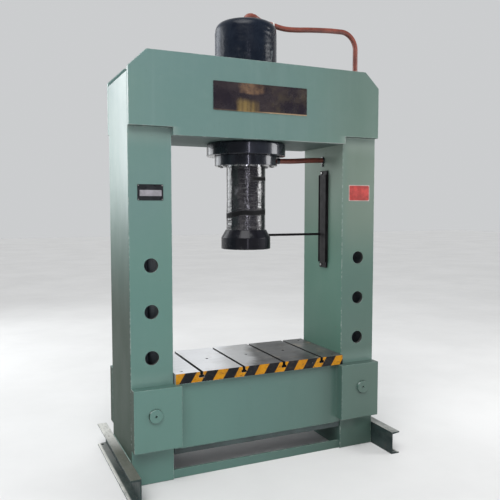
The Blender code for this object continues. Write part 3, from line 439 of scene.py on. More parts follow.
def film_on_rod():
    """Stretch film over the oiled rod: grey and glossy, gathered across, with two turns of dark tape."""
    s = Shade("rod_film", Specular_IOR_Level=0.9)
    crease = s.noise(1.0, 6, 0.72, stretch=(15, 15, 7), twist=0.8)
    thin = s.noise(1.0, 4, 0.7, stretch=(60, 60, 16), shift=(3, 3, 3))
    milky = s.times(s.levels(crease, 0.52, 0.74), s.levels(thin, 0.38, 0.62))
    s.colour = s.mix(s.levels(crease, 0.35, 0.65), (0.014, 0.013, 0.018), (0.034, 0.031, 0.034))
    s.tint(s.times(milky, 0.4), (0.36, 0.34, 0.38))
    height = s.add(s.part("Z"), s.sway(s.noise(7, 4, 0.6), 0.030))
    across = s.across(s.part("X"))
    height = s.add(height, s.times(s.most(s.times(across, -1.0), 0.0), 0.17))
    lower, upper = [s.times(s.levels(height, *t[:2]), s.fade(height, *t[2:])) for t in (LOWER_TAPE, UPPER_TAPE)]
    taped = s.most(lower, s.times(upper, s.levels(across, 0.0, 0.06)))
    s.tint(s.times(taped, 0.95), (0.003, 0.003, 0.004))
    s.set("Metallic", s.times(taped, 0.7))
    gathers = s.bump(s.noise(1.0, 3, 0.6, stretch=(14, 14, 75), twist=0.5), 0.0022, 0.8)
    return s.done(
        s.add(s.levels(thin, 0.3, 0.7, 0.05, 0.15), s.times(taped, 0.65)),
        s.bump(crease, 0.003, 0.5, after=gathers),
    )


def film_on_barrel():
    """Stretch film over the dark barrel: clear in front, a painted reflection as a milky band to the left, creases
    with painted highlights to the right.
    """
    s = Shade("barrel_film", Specular_IOR_Level=0.20)
    crease = s.noise(1.0, 6, 0.72, stretch=(13, 13, 9), twist=0.8)
    along = s.add(s.part("X"), s.sway(crease, 0.05))
    across = s.across(along)
    # Painted reflection to the left and painted highlights on the creases to the right, placed across the front left
    # view
    left = s.times(s.fade(across, -0.162, -0.142), s.levels(crease, 0.30, 0.62, 0.35, 1.0))
    right = s.times(s.levels(across, 0.120, 0.165), s.levels(crease, 0.50, 0.68))
    s.colour = s.mix(s.blot(4, 4, 0.6, 0.3, 0.7), (0.007, 0.010, 0.018), (0.014, 0.020, 0.032))
    s.tint(s.times(left, 0.26), (0.13, 0.16, 0.23))
    s.tint(s.times(right, 0.7), (0.30, 0.35, 0.35))
    return s.done(s.levels(crease, 0.3, 0.7, 0.18, 0.36), s.bump(crease, 0.003, 0.4))


def chrome(name):
    s = Shade(name, Metallic=1.0)
    oil = s.noise(1.0, 4, 0.6, stretch=(5, 5, 1.4))
    s.colour = s.mix(s.levels(oil, 0.4, 0.7), (0.62, 0.63, 0.65), (0.52, 0.53, 0.55))
    return s.done(
        s.levels(oil, 0.3, 0.7, 0.06, 0.14),
        s.bump(s.noise(1.0, 2, 0.5, stretch=(1, 1, 800)), 0.00008, 0.4),
    )


def plain(name, colour, rough, speckle=0.12, grain=260.0, depth=0.0003, metallic=0.0, **values):
    """A moulded or painted small surface with its own speckle, gloss changes and fine texture."""
    s = Shade(name, Metallic=metallic, **values)
    tone = s.blot(21, 5, 0.65, 0.35, 0.7)
    darker = tuple(c * (1 - speckle) for c in colour)
    lighter = tuple(min(1.0, c * (1 + speckle) + 0.004) for c in colour)
    s.colour = s.mix(tone, darker, lighter)
    return s.done(
        s.blot(33, 4, 0.6, 0.3, 0.7, rough - 0.05, rough + 0.08),
        s.bump(s.noise(grain, 3, 0.55), depth, 0.5),
    )


def sign_face():
    """The bare sign: dark glossy plastic with tan and gold mottling left of its middle and a thin gold lower edge."""
    s = Shade("sign_face", Coat_Weight=0.5, Coat_Roughness=0.10)
    x, z = s.part("X"), s.part("Z")
    s.colour = s.mix(s.blot(6, 5, 0.62, 0.35, 0.7), (0.016, 0.012, 0.018), (0.040, 0.030, 0.032))
    olive = s.times(s.levels(x, -0.04, 0.05), s.blot(9, 5, 0.7, 0.40, 0.66, shift=(1, 0, 3)), 0.75)
    s.tint(olive, (0.066, 0.052, 0.036))
    wavy = s.sway(s.noise(12, 3, 0.5), 0.05)
    across, up = s.add(x, wavy), s.add(z, wavy)
    tan = s.times(s.levels(across, -0.172, -0.150), s.fade(across, -0.040, 0.000), s.levels(up, 2.198, 2.210))
    tan = s.times(tan, s.blot(20, 4, 0.65, 0.34, 0.66, 0.15, 0.6))
    s.tint(tan, (0.26, 0.155, 0.085))
    bars = s.blot(1.0, 2, 0.5, 0.30, 0.70, 0.25, 1.0, stretch=(26, 1, 3), shift=(0.4, 0, 2))
    gold = s.times(s.levels(across, -0.190, -0.150), s.fade(across, -0.062, -0.030), s.fade(up, 2.140, 2.185))
    s.tint(s.times(gold, bars, 0.62), (0.34, 0.235, 0.080))
    low = s.times(s.fade(z, SIGN[2] + 0.003, SIGN[2] + 0.009), s.levels(x, -0.1, 0.06, 0.15, 0.9))
    s.tint(low, (0.42, 0.30, 0.18))
    return s.done(s.blot(14, 4, 0.6, 0.3, 0.7, 0.16, 0.32), s.bump(s.noise(40, 4, 0.6), 0.0006, 0.3))


PAINT = enamel("enamel")
PAINT_EDGE = enamel("enamel_edge", edge=True)
PAINT_WORN = worn_foot()
# Painted shade: a dark primer for the bed's bottom plate, which lies in shade under the bed
BED_LOW_SHADE = primer("bed_low_paint", 0.0, (0.026, 0.040, 0.040), (0.046, 0.070, 0.068), (0.020, 0.024, 0.025))
INSIDE = primer("column_inside", 0.0, (0.26, 0.29, 0.33), (0.38, 0.42, 0.46), (0.16, 0.15, 0.17))
BORE = steel("bore_steel", 0.34, 0.42)
PIPE_PAINT = primer("pipe_primer", wet=1.0)
DARK = dark_steel("dark_steel")
RAM_STEEL = dark_steel("ram_steel", (0.006, 0.006, 0.009), 0.36, 0.22, 0.12)
TABLE_TOP = table_steel()
SLOT = steel("slot_steel", 0.085, 0.45)
BANDS = hazard()
STEEL = steel("machined_steel")
BOLT = steel("bolt_steel", 0.30, 0.38, (60, 60, 60))
CHROME = chrome("hard_chrome")
BRONZE = plain("bearing_bronze", (0.50, 0.30, 0.12), 0.32, metallic=1.0)
RUBBER = plain("seal_rubber", (0.022, 0.022, 0.023), 0.62, 0.25)
PLASTIC = plain("black_plastic", (0.007, 0.006, 0.007), 0.46, 0.3, 420.0, Specular_IOR_Level=0.12)
TAPE = plain("thread_tape", (0.72, 0.70, 0.66), 0.5, 0.10, 120.0, 0.0008)
BLACK_PLATE = plain("black_plate", (0.010, 0.011, 0.014), 0.30, 0.3, Coat_Weight=0.4, Coat_Roughness=0.1)
SILVER_PLATE = plain("silver_panel", (0.43, 0.41, 0.44), 0.36, 0.16, metallic=0.55)
RED_PLATE = plain("red_plate", (0.40, 0.045, 0.038), 0.36, 0.30, Coat_Weight=0.3, Coat_Roughness=0.12)
WHITE_EDGE = plain("white_border", (0.42, 0.33, 0.30), 0.44, 0.16)
SIGN_FACE = sign_face()
ROD_FILM = film_on_rod()
BARREL_FILM = film_on_barrel()


# Mesh helpers
def shown(name, data):
    """A new object in the scene."""
    obj = bpy.data.objects.new(name, data)
    bpy.context.scene.collection.objects.link(obj)
    return obj


def own_normals(mesh):
    """Corner normals weighed by face area, so that flat faces stay flat and their rounded edges shade smoothly."""
    bm = bmesh.new()
    bm.from_mesh(mesh)
    area = [face.calc_area() for face in bm.faces]
    cosine = math.cos(math.radians(50))
    found = []
    for face in bm.faces:
        for corner in face.loops:
            total = Vector()
            for other in corner.vert.link_faces:
                if face.normal.dot(other.normal) > cosine:
                    total += other.normal * area[other.index]
            found.append(total.normalized() if total.length > 0 else face.normal)
    bm.free()
    mesh.shade_smooth()
    mesh.normals_split_custom_set(found)


def piece(name, bm, materials, stands_for=(), smooth=None, body="frame"):
    """One object from a bmesh, on its body, in place of the CAD nodes that it stands for; smooth is in degrees."""
    mesh = bpy.data.meshes.new(name)
    bmesh.ops.recalc_face_normals(bm, faces=bm.faces)
    bm.to_mesh(mesh)
    bm.free()
    if smooth is None:
        own_normals(mesh)
    else:
        mesh.shade_smooth()
        mesh.set_sharp_from_angle(angle=math.radians(smooth))
    obj = shown(name, mesh)
    for material in materials:
        mesh.materials.append(material)
    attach(obj, body)
    if stands_for:
        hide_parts(*stands_for)
    return obj


def block(low, high):
    bm = bmesh.new()
    bmesh.ops.create_cube(bm, size=1)
    size = Matrix.Diagonal([b - a for a, b in zip(low, high)]).to_4x4()
    place = Matrix.Translation([(a + b) / 2 for a, b in zip(low, high)])
    bmesh.ops.transform(bm, matrix=place @ size, verts=bm.verts)
    return bm


def from_node(node):
    bm = bmesh.new()
    bm.from_mesh(frame["nodes"][node].data)
    bmesh.ops.remove_doubles(bm, verts=bm.verts, dist=0.00002)
    bmesh.ops.dissolve_limit(bm, angle_limit=math.radians(1), verts=bm.verts, edges=bm.edges)
    return bm


def edges_over(bm, degrees=35, where=None):
    limit = math.radians(degrees)
    found = [e for e in bm.edges if len(e.link_faces) == 2 and e.calc_face_angle(0.0) > limit]
    return [e for e in found if where is None or where(e)]


def round_off(bm, edges, width, segments, index=None):
    """Rounds these edges; the new faces take the material slot of that index."""
    how = {"offset_type": "OFFSET", "profile": 0.5, "affect": "EDGES", "clamp_overlap": True}
    made = bmesh.ops.bevel(bm, geom=edges, offset=width, segments=segments, **how)
    if index is not None:
        for face in made["faces"]:
            face.material_index = index


def softened(node, width, segments=3, materials=(PAINT, PAINT_EDGE), body="frame", where=None):
    """A CAD plate with its edges rounded as a grinder leaves them."""
    bm = from_node(node)
    round_off(bm, edges_over(bm, where=where), width, segments, 1)
    piece(node + "_dressed", bm, materials, (node,), body=body)


def carve(bm, cutter):
    """The first shape less the second, both closed."""
    made = []
    for name, shape in (("carve_base", bm), ("carve_tool", cutter)):
        bmesh.ops.recalc_face_normals(shape, faces=shape.faces)
        mesh = bpy.data.meshes.new(name)
        shape.to_mesh(mesh)
        shape.free()
        made.append(shown(name, mesh))
    modifier = made[0].modifiers.new("carve", "BOOLEAN")
    modifier.operation = "DIFFERENCE"
    modifier.solver = "EXACT"
    modifier.object = made[1]
    bpy.context.view_layer.update()
    graph = bpy.context.evaluated_depsgraph_get()
    result = bmesh.new()
    result.from_mesh(bpy.data.meshes.new_from_object(made[0].evaluated_get(graph)))
    for obj in made:
        bpy.data.objects.remove(obj)
    bmesh.ops.remove_doubles(result, verts=result.verts, dist=0.00001)
    return result


def rounded(points, radius):
    """A closed profile with its corners rounded, as (across, along) points. Points on the axis stay."""
    found = []
    for before, here, after in zip([points[-1], *points[:-1]], points, [*points[1:], points[0]]):
        a, p, b = Vector(before), Vector(here), Vector(after)
        if p.x < 1e-6 or (a - p).length < 1e-6 or (b - p).length < 1e-6:
            found.append(tuple(p))
            continue
        reach = min(radius, (a - p).length * 0.45, (b - p).length * 0.45)
        start, end = p + (a - p).normalized() * reach, p + (b - p).normalized() * reach
        for t in (0, 1 / 3, 2 / 3, 1):
            found.append(tuple(start * (1 - t) ** 2 + p * (2 * t * (1 - t)) + end * t**2))
    return found


def lathe(profile, sides=128, axis="Z", centre=(0, 0, 0)):
    """A closed profile of (radius, place along the axis), turned."""
    bm = bmesh.new()
    rings = []
    for radius, along in profile:
        if radius < 1e-6:
            rings.append([bm.verts.new((0, 0, along))])
            continue
        turns = [math.tau * n / sides for n in range(sides)]
        rings.append([bm.verts.new((radius * math.cos(a), radius * math.sin(a), along)) for a in turns])
    for low, high in zip(rings, rings[1:] + rings[:1]):
        if len(low) == 1 and len(high) == 1:
            continue
        for n in range(sides):
            after = (n + 1) % sides
            corners = [low[n % len(low)], low[after % len(low)], high[after % len(high)], high[n % len(high)]]
            unique = list(dict.fromkeys(corners))
            if len(unique) > 2:
                bm.faces.new(unique)
    turn = Matrix.Identity(4)
    if axis == "X":
        turn = Matrix.Rotation(math.pi / 2, 4, "Y")
    if axis == "Y":
        turn = Matrix.Rotation(-math.pi / 2, 4, "X")
    bmesh.ops.transform(bm, matrix=Matrix.Translation(centre) @ turn, verts=bm.verts)
    return bm


def turned(name, profile, material, soft, stands_for=(), axis="Z", centre=(0, 0, 0), sides=128, body="frame"):
    piece(name, lathe(rounded(profile, soft), sides, axis, centre), [material], stands_for, body=body)


def hoop(inner, outer, low, high):
    """The profile of a plain ring or bar."""
    return [(inner, low), (outer, low), (outer, high), (inner, high)]


def walls(bm, rings):
    """Four-sided faces between each ring and the next."""
    for low, high in zip(rings, rings[1:]):
        for n in range(len(low)):
            after = (n + 1) % len(low)
            bm.faces.new((low[n], low[after], high[after], high[n]))


def tube(route, radius, sides=32, ripple=None):
    """A round bar along a route; ripple(n, turn) may change each ring's radius."""
    bm = bmesh.new()
    rings = []
    side = None
    for n, here in enumerate(route):
        before, after = route[max(n - 1, 0)], route[min(n + 1, len(route) - 1)]
        along = (after - before).normalized()
        if side is None:
            side = along.orthogonal().normalized()
        side = (side - along * side.dot(along)).normalized()
        other = along.cross(side)
        ring = []
        for k in range(sides):
            turn = math.tau * k / sides
            r = radius * (ripple(n, turn) if ripple else 1.0)
            ring.append(bm.verts.new(here + side * (r * math.cos(turn)) + other * (r * math.sin(turn))))
        rings.append(ring)
    walls(bm, rings)
    bm.faces.new(rings[0])
    bm.faces.new(rings[-1])
    return bm


def merged(*shapes):
    """Several bmeshes as one."""
    result = bmesh.new()
    for shape in shapes:
        mesh = bpy.data.meshes.new("shape")
        shape.to_mesh(mesh)
        shape.free()
        result.from_mesh(mesh)
        bpy.data.meshes.remove(mesh)
    return result


def bead(name, runs, radius, material):
    """Weld beads along straight runs, with the ripples that the welder's stops leave."""
    shapes = []
    for index, (start, end) in enumerate(runs):
        start, end = Vector(start), Vector(end)
        count = max(6, int((end - start).length / 0.0028))
        route = [start.lerp(end, n / count) for n in range(count + 1)]
        wobble = [radius * 0.25 * (noise.noise(Vector((n * 0.21, index * 3.7, 0.4)))) for n in range(count + 1)]
        route = [p + Vector((w, w, w)) for p, w in zip(route, wobble)]

        def ripple(n, turn):
            end_taper = min(1.0, 0.45 + 0.2 * min(n, count - n))
            return end_taper * (1 + 0.16 * math.sin(n * 2.1) + 0.05 * math.sin(n * 0.37))

        shapes.append(tube(route, radius, 8, ripple))
    piece(name, merged(*shapes), [material], smooth=60)


def screw_head(radius, height, socket):
    """A socket screw's head on z = 0, with its six-sided recess."""
    chamfer, count = 0.0008, 24
    bm = bmesh.new()
    hexagon = []
    for n in range(count):
        turn = math.tau * n / count
        local = (turn % (math.pi / 3)) - math.pi / 6
        r = socket * math.cos(math.pi / 6) / math.cos(local)
        hexagon.append((r * math.cos(turn), r * math.sin(turn)))
    circle = [(math.cos(math.tau * n / count), math.sin(math.tau * n / count)) for n in range(count)]
    loops = [
        [(x * radius, y * radius, 0) for x, y in circle],
        [(x * radius, y * radius, height - chamfer) for x, y in circle],
        [(x * (radius - chamfer), y * (radius - chamfer), height) for x, y in circle],
        [(x, y, height) for x, y in hexagon],
        [(x, y, height * 0.4) for x, y in hexagon],
    ]
    rings = [[bm.verts.new(p) for p in loop] for loop in loops]
    walls(bm, rings)
    bm.faces.new(rings[-1])
    bm.faces.new(rings[0])
    return bm


def placed(bm, where, axis=(0, 0, 1), spin=0.0):
    """Moves a shape made on z = 0 to a place, with its z along the axis."""
    turn = Vector((0, 0, 1)).rotation_difference(Vector(axis)).to_matrix().to_4x4()
    bmesh.ops.transform(bm, matrix=Matrix.Translation(where) @ turn @ Matrix.Rotation(spin, 4, "Z"), verts=bm.verts)
    return bm


def screws(name, places, size, axis, material, spin=0.0):
    """Socket screws at these places, each turned further than the last; size is radius, height and socket."""
    shapes = [placed(screw_head(*size), where, axis, n * spin) for n, where in enumerate(places)]
    piece(name, merged(*shapes), [material], smooth=30)


def plate(width, height, thick, corner, soft=0.0004):
    """A thin plate with round corners, centred on z = 0."""
    bm = bmesh.new()
    points = []
    for sx, sy, start in ((1, 1, 0), (-1, 1, 1), (-1, -1, 2), (1, -1, 3)):
        for n in range(7):
            turn = (start + n / 6) * math.pi / 2
            x = sx * (width / 2 - corner) + corner * math.cos(turn)
            y = sy * (height / 2 - corner) + corner * math.sin(turn)
            points.append(bm.verts.new((x, y, 0)))
    face = bm.faces.new(points)
    grown = bmesh.ops.extrude_face_region(bm, geom=[face])
    bmesh.ops.translate(bm, vec=(0, 0, thick), verts=[v for v in grown["geom"] if isinstance(v, bmesh.types.BMVert)])
    top = [e for e in bm.edges if all(abs(v.co.z - thick) < 1e-7 for v in e.verts) and len(e.link_faces) == 2]
    bmesh.ops.bevel(bm, geom=top, offset=soft, segments=2, profile=0.5, affect="EDGES")
    return bm


# Columns
def column(side, name):
    """One welded box column with ground seams, the pin holes and, on the right, the pipe's hole."""
    x0, x1 = sorted((side * INNER, side * OUTER))
    shell = block((x0, -FACE, 0), (x1, FACE, COLUMN_TOP))
    room = block((x0 + WALL, -FACE + WALL, -0.01), (x1 - WALL, FACE - WALL, COLUMN_TOP - 0.012))
    bm = carve(shell, room)
    tools = []
    for height in HOLE_HEIGHTS:
        bar = hoop(0, HOLE_RADIUS, -FACE - 0.01, FACE + 0.01)
        tools.append(lathe(bar, 64, "Y", (side * COLUMN_X, 0, height)))
    bm = carve(bm, merged(*tools))
    if side > 0:
        bar = hoop(0, PIPE_RADIUS + 0.0015, x0 - 0.01, x1 + 0.01)
        bm = carve(bm, lathe(bar, 48, "X", (0, PIPE_Y, PIPE_Z)))

    def planes(vert):
        x, y, z = vert.co
        return sum((min(abs(x - x0), abs(x - x1)) < 1e-4, abs(abs(y) - FACE) < 1e-4, abs(z - COLUMN_TOP) < 1e-4))

    def corner(edge):
        return all(planes(v) >= 2 for v in edge.verts)

    def rim(edge):
        return all(planes(v) == 1 for v in edge.verts)

    for face in bm.faces:
        x, y, z = face.calc_center_median()
        face.material_index = 0
        if x0 + 0.001 < x < x1 - 0.001 and abs(y) < FACE - 0.001 and z < COLUMN_TOP - 0.001:
            face.material_index = 3 if abs(y) > FACE - WALL + 0.001 else 2
    round_off(bm, edges_over(bm, where=corner), 0.005, 3, 1)
    round_off(bm, edges_over(bm, 60, where=rim), 0.0012, 2, 1)
    nodes = [f"{name}_{p}" for p in ("front_plate", "rear_plate", "inner_plate", "outer_plate", "cap")]
    piece(name + "_shell", bm, [PAINT, PAINT_EDGE, INSIDE, BORE], nodes)


column(-1, "left_column")
column(1, "right_column")

# Head, bed, ears, feet and ties
for node in ("head_front_plate", "head_rear_plate"):
    softened(node, 0.004)
for node in ("bottom_plate", "top_plate", "left_rib", "right_rib"):
    softened("head_" + node, 0.0015, 2)
seam_z = (BED[1].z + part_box("bed_top_plate")[0].z) / 2
for node in ("bed_front_plate", "bed_rear_plate", "bed_top_plate"):
    softened(node, 0.0025, where=lambda e: any(abs(v.co.z - seam_z) > 0.001 for v in e.verts))
# The bed's bottom plate takes the painted-shade primer
softened("bed_bottom_plate", 0.0025, materials=(BED_LOW_SHADE, BED_LOW_SHADE))
for node in ("left_end", "right_end", "rib_1", "rib_2", "rib_3"):
    softened("bed_" + node, 0.001, 2)
for ear in ("left_front", "left_rear", "right_front", "right_rear"):
    softened(f"bed_{ear}_ear", 0.004)
for node in ("front_tie", "rear_tie"):
    softened(node, 0.0015)
for node in ("left_foot", "right_foot"):
    softened(node, 0.0012, 2, (PAINT_WORN, PAINT_WORN))

# Table
table = from_node("table_plate")
for face in table.faces:
    x, y, z = face.calc_center_median()
    if face.normal.y < -0.9 and y < TABLE[0].y + 0.001:
        face.material_index = 1
    elif TABLE[0].z + 0.001 < z < TABLE[1].z - 0.001 and abs(x) < 0.5 and abs(y) < 0.26:
        face.material_index = 2
round_off(table, edges_over(table), 0.0008, 2)
piece("table_dressed", table, [TABLE_TOP, BANDS, SLOT], ("table_plate",))
places = [(x, 0) for x in (-0.265, 0, 0.265)] + [(x, y) for x in (-0.504, 0.504) for y in (-0.223, 0.223)]
places = [(x, y, TABLE[1].z - 0.0199) for x, y in places]
screws("table_screws", places, (0.0082, 0.008, 0.0047), (0, 0, 1), BOLT, 0.7)

# Pins
for side, body in ((-1, "left_pin"), (1, "right_pin")):
    r, h = PIN_RADIUS, PIN_HALF
    profile = [(0, -h + 0.016), (0.006, -h + 0.016), (0.006, -h), (r - 0.003, -h), (r, -h + 0.003)]
    profile += [(r, h - 0.003), (r - 0.003, h), (0, h)]
    turned(body + "_bar", profile, PAINT, 0.0012, (body,), "Y", (side * COLUMN_X, 0, PIN_Z), body=body)

# Cylinder and ram
flange, flange_low, flange_top = BARREL[1].x, BARREL[0].z, HEAD_FLOOR[0].z - SEAT
barrel, bore = 0.176, 0.140
profile = [
    (bore, flange_low),
    (flange - 0.002, flange_low),
    (flange, flange_low + 0.002),
    (flange, flange_top - 0.011),
    (flange - 0.003, flange_top - 0.003),
    (flange - 0.011, flange_top),
    (barrel, flange_top),
    (barrel, BARREL[1].z),
    (bore, BARREL[1].z),
]
turned("cylinder_tube", profile, DARK, 0.0015, ("cylinder_barrel",))
profile = hoop(ROD_RADIUS + 0.0115, GLAND[1].x, GLAND[0].z, GLAND[1].z)
turned("gland_dressed", profile, DARK, 0.002, ("gland_ring",))
profile = hoop(barrel + SEAT, LOCK[1].x, LOCK[0].z, LOCK[1].z)
turned("lock_ring_dressed", profile, DARK, 0.002, ("cylinder_lock_ring",))
cap, shoulder = CAP[1].x, 0.050
profile = [(0, CAP[0].z), (cap, CAP[0].z)]
profile += [
    (cap - shoulder + shoulder * math.cos(a), CAP[1].z - shoulder + shoulder * math.sin(a))
    for a in [math.pi / 2 * n / 12 for n in range(13)]
]
profile += [(0, CAP[1].z)]
turned("cap_dressed", profile, BARREL_FILM, 0.0004, ("cylinder_cap",))
rim_z = PLATEN[1].z - 0.048
neck, spigot, recess = 0.127, 0.0603, 0.0503
profile = [
    (0, PLATEN[0].z),
    (PLATEN[1].x - 0.003, PLATEN[0].z),
    (PLATEN[1].x, PLATEN[0].z + 0.003),
    (PLATEN[1].x, rim_z),
    (neck, PLATEN[1].z),
    (spigot, PLATEN[1].z),
    (spigot, PLATEN[1].z - recess),
    (0, PLATEN[1].z - recess),
]
turned("platen_dressed", profile, RAM_STEEL, 0.002, ("platen",), body="ram")


def crinkled(name, node, body, radius, material, amount, seed, rows):
    """A film sleeve: two close skins, creased along and gathered across, open at both ends."""
    sides = 220
    low, high = [corner.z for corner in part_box(node)]
    bm = bmesh.new()
    skins = []
    for skin in (0.0, -0.0004):
        rings = []
        for row in range(rows + 1):
            t = row / rows
            z = low + (high - low) * t
            ring = []
            for n in range(sides):
                turn = math.tau * n / sides
                x, y = math.cos(turn), math.sin(turn)
                creases = noise.noise(Vector((x * 9, y * 9, z * 14 + seed)))
                slack = noise.noise(Vector((x * 3.1 + seed, y * 3.1, z * 5)))
                fine = noise.noise(Vector((x * 22, y * 22, z * 60 + seed)))
                gather = 0.5 * noise.noise(Vector((x * 3, y * 3, z * 62 + 3 * seed)))
                r = radius + amount * (0.55 * creases + 0.45 * slack + 0.3 * fine + gather)
                ring.append(bm.verts.new((x * (r + skin), y * (r + skin), z)))
            rings.append(ring)
        skins.append(rings)
    for rings in (*skins, [skin[0] for skin in skins], [skin[-1] for skin in skins]):
        walls(bm, rings)
    return piece(name, bm, [material], (node,), 75, body)


rod_film = crinkled("rod_film_sleeve", "rod_wrap", "ram", 0.1219, ROD_FILM, 0.0011, 1.7, 110)
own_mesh(rod_film)
crinkled("barrel_film_sleeve", "barrel_wrap", "frame", 0.1900, BARREL_FILM, 0.0013, 4.2, 70)

# Screws that hold the gland ring, seen from below
turns = [math.tau * (n + 0.5) / 12 for n in range(12)]
circle = 0.166
places = [(circle * math.cos(turn), circle * math.sin(turn), GLAND[0].z) for turn in turns]
screws("gland_screws", places, (0.0110, 0.0060, 0.0065), (0, 0, -1), BOLT, 0.9)


# Pipes
def smooth_through(points):
    """A route through all the points, without corners."""
    padded = [2 * points[0] - points[1], *points, 2 * points[-1] - points[-2]]
    route = []
    for before, here, after, beyond in zip(padded, padded[1:], padded[2:], padded[3:]):
        for t in [n / 8 for n in range(8)]:
            straight = here * 2 + (after - before) * t
            square = (before * 2 - here * 5 + after * 4 - beyond) * t**2
            cube = (here * 3 - before - after * 3 + beyond) * t**3
            route.append((straight + square + cube) / 2)
    return route + [points[-1]]


RISE, BEND, STRAIGHT = 0.053, 0.110, 0.012
cap_top = CAP[1].z
UPPER = ((0, 0, 1), (0.08, 0.5, 0.72), (0.2, 0.9, 0.58), (0.345, 1, 0.34))
UPPER += ((0.48, 1, 0.41), (0.63, 1, 0.62), (0.85, 1, 0.85), (1, 1, 0.92))
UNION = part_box("upper_pipe_union")
upper_x, upper_y = middle("upper_pipe_union").xy
lead = Vector((0.0453, 0, cap_top + RISE))
start = lead + Vector((STRAIGHT, 0, 0))
way = upper_x - BEND - start.x
run = [Vector((start.x + a * way, b * upper_y, cap_top + c * RISE)) for a, b, c in UPPER]
upper_route = [lead] + smooth_through(run)
last = upper_route[-1]
for a in [math.pi / 2 * n / 16 for n in range(1, 17)]:
    upper_route.append(Vector((last.x + BEND * math.sin(a), upper_y, last.z - BEND + BEND * math.cos(a))))
upper_route.append(Vector((upper_x, upper_y, (upper_route[-1].z + UNION[1].z) / 2)))
upper_route.append(Vector((upper_x, upper_y, UNION[1].z + SEAT)))
piece("upper_pipe_bar", tube(upper_route, PIPE_RADIUS), [PIPE_PAINT], ("upper_pipe",), 40)
low_z = middle("lower_pipe_fitting").z
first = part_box("lower_pipe_fitting")[1].x + SEAT
start = first + STRAIGHT
way, rise = INNER - STRAIGHT - start, PIPE_Z - low_z
LOWER = ((0, 0), (0.3, 0.2), (0.7, 0.8), (1, 1))
run = [Vector((start + a * way, PIPE_Y, low_z + b * rise)) for a, b in LOWER]
end = Vector((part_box("lower_pipe")[1].x, PIPE_Y, PIPE_Z))
route = [Vector((first, PIPE_Y, low_z))] + smooth_through(run) + [end]
piece("lower_pipe_bar", tube(route, PIPE_RADIUS), [PIPE_PAINT], ("lower_pipe",), 40)

for axis, node in zip("XXZZ", ("lower_pipe_fitting", "lower_pipe_union", "upper_pipe_union", "cap_port_boss")):
    low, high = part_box(node)
    centre = middle(node)
    along = "XYZ".index(axis)
    a, b, r = low[along], high[along], (high.y - low.y) / 2
    third, waist = (b - a) / 3, r * 0.93
    profile = [(0, a), (r, a), (r, a + third), (waist, a + third * 1.1)]
    profile += [(waist, b - third * 1.1), (r, b - third), (r, b), (0, b)]
    centre[along] = 0
    turned(node + "_dressed", profile, DARK, 0.0012, (node,), axis, centre, 64)
for material, nodes in (
    (PIPE_PAINT, ("cap_elbow",)),
    (BRONZE, ("guide_bush",)),
    (RUBBER, ("rod_seal", "rod_wiper", "piston_seal")),
    (CHROME, ("piston_rod",)),
    (STEEL, ("piston", "piston_nut")),
):
    for node in nodes:
        slots = frame["nodes"][node].data.materials
        slots.clear()
        slots.append(material)
softened("travel_scale", 0.0012, 2, (PLASTIC, PLASTIC))
softened("travel_pointer", 0.0008, 2, (PLASTIC, PLASTIC), "ram")
softened("upper_pipe_clamp", 0.0015, 2, (DARK, DARK))

# Screws of the travel scale's tabs
places = [(SCALE[1].x - 0.012, -0.010, z) for z in (SCALE[1].z - 0.013, SCALE[0].z + 0.018)]
screws("scale_screws", places, (0.0065, 0.005, 0.0035), (-1, 0, 0), STEEL)

# Welds
lap_z = 1.989
step_x = 0.555
runs, laps = [], []
for sx in (-1, 1):
    for sy in (-1, 1):
        y = sy * (FACE + 0.0018)
        laps.append(((sx * (step_x + 0.003), y, lap_z - 0.0018), (sx * (OUTER - 0.004), y, lap_z - 0.0018)))
        laps.append(((sx * (step_x + 0.0018), y, HEAD[0].z + 0.003), (sx * (step_x + 0.0018), y, lap_z - 0.002)))
        x, y = sx * (EAR[0].x - 0.0012), sy * (-BED[0].y + 0.0012)
        runs.append(((x, y, EAR[0].z + 0.004), (x, y, EAR[1].z - 0.004)))
        x, y = sx * (INNER - 0.0016), sy * (-TIE[0].y - 0.0005)
        runs.append(((x, y, 0.003), (x, y, TIE[1].z - 0.002)))
    x, z = sx * (OUTER + 0.0016), FOOT[1].z + 0.0014
    runs.append(((x, -FACE + 0.006, z), (x, FACE - 0.006, z)))
for sy in (-1, 1):
    y, z = sy * (-BED[0].y - 0.0052), BED_LOW[1].z - 0.0012
    runs.append(((-0.515, y, z), (0.515, y, z)))
bead("welds", runs, 0.0032, PAINT)
# The lap welds take the edge enamel, whose wear tone also stands as a painted highlight, with the painted glint on
# the right
bead("lap_welds", laps, 0.0036, PAINT_EDGE)

# Tape and clip on the pipes
taped = [p for p in upper_route if 0.180 < p.x < 0.215]
start, end = taped[0], taped[-1]
ring = [start.lerp(end, 0.25 + 0.5 * n / 10) for n in range(11)]
wound = tube(ring, 0.0184, 32, lambda n, a: 1 + 0.02 * math.sin(3 * a + n) - 0.05 * (n in (0, 10)))
piece("pipe_tape", wound, [TAPE], smooth=50)
inner, back = PIPE_RADIUS + 0.0004, INNER - 0.009
collar = [(inner, back), (0.0225, back), (0.0245, INNER - SEAT), (inner, INNER - SEAT)]
turned("pipe_collar", collar, DARK, 0.001, (), "X", (0, PIPE_Y, PIPE_Z), 64)
places = [(INNER - SEAT, PIPE_Y - 0.004, PIPE_Z - 0.034)]
screws("pipe_clip_screw", places, (0.0085, 0.011, 0.0045), (-1, 0, 0), DARK)
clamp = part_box("upper_pipe_clamp")
places = [(clamp[1].x, y, middle("upper_pipe_clamp").z) for y in (clamp[0].y + 0.009, clamp[1].y - 0.009)]
screws("clamp_screws", places, (0.0065, 0.006, 0.0035), (1, 0, 0), BOLT)

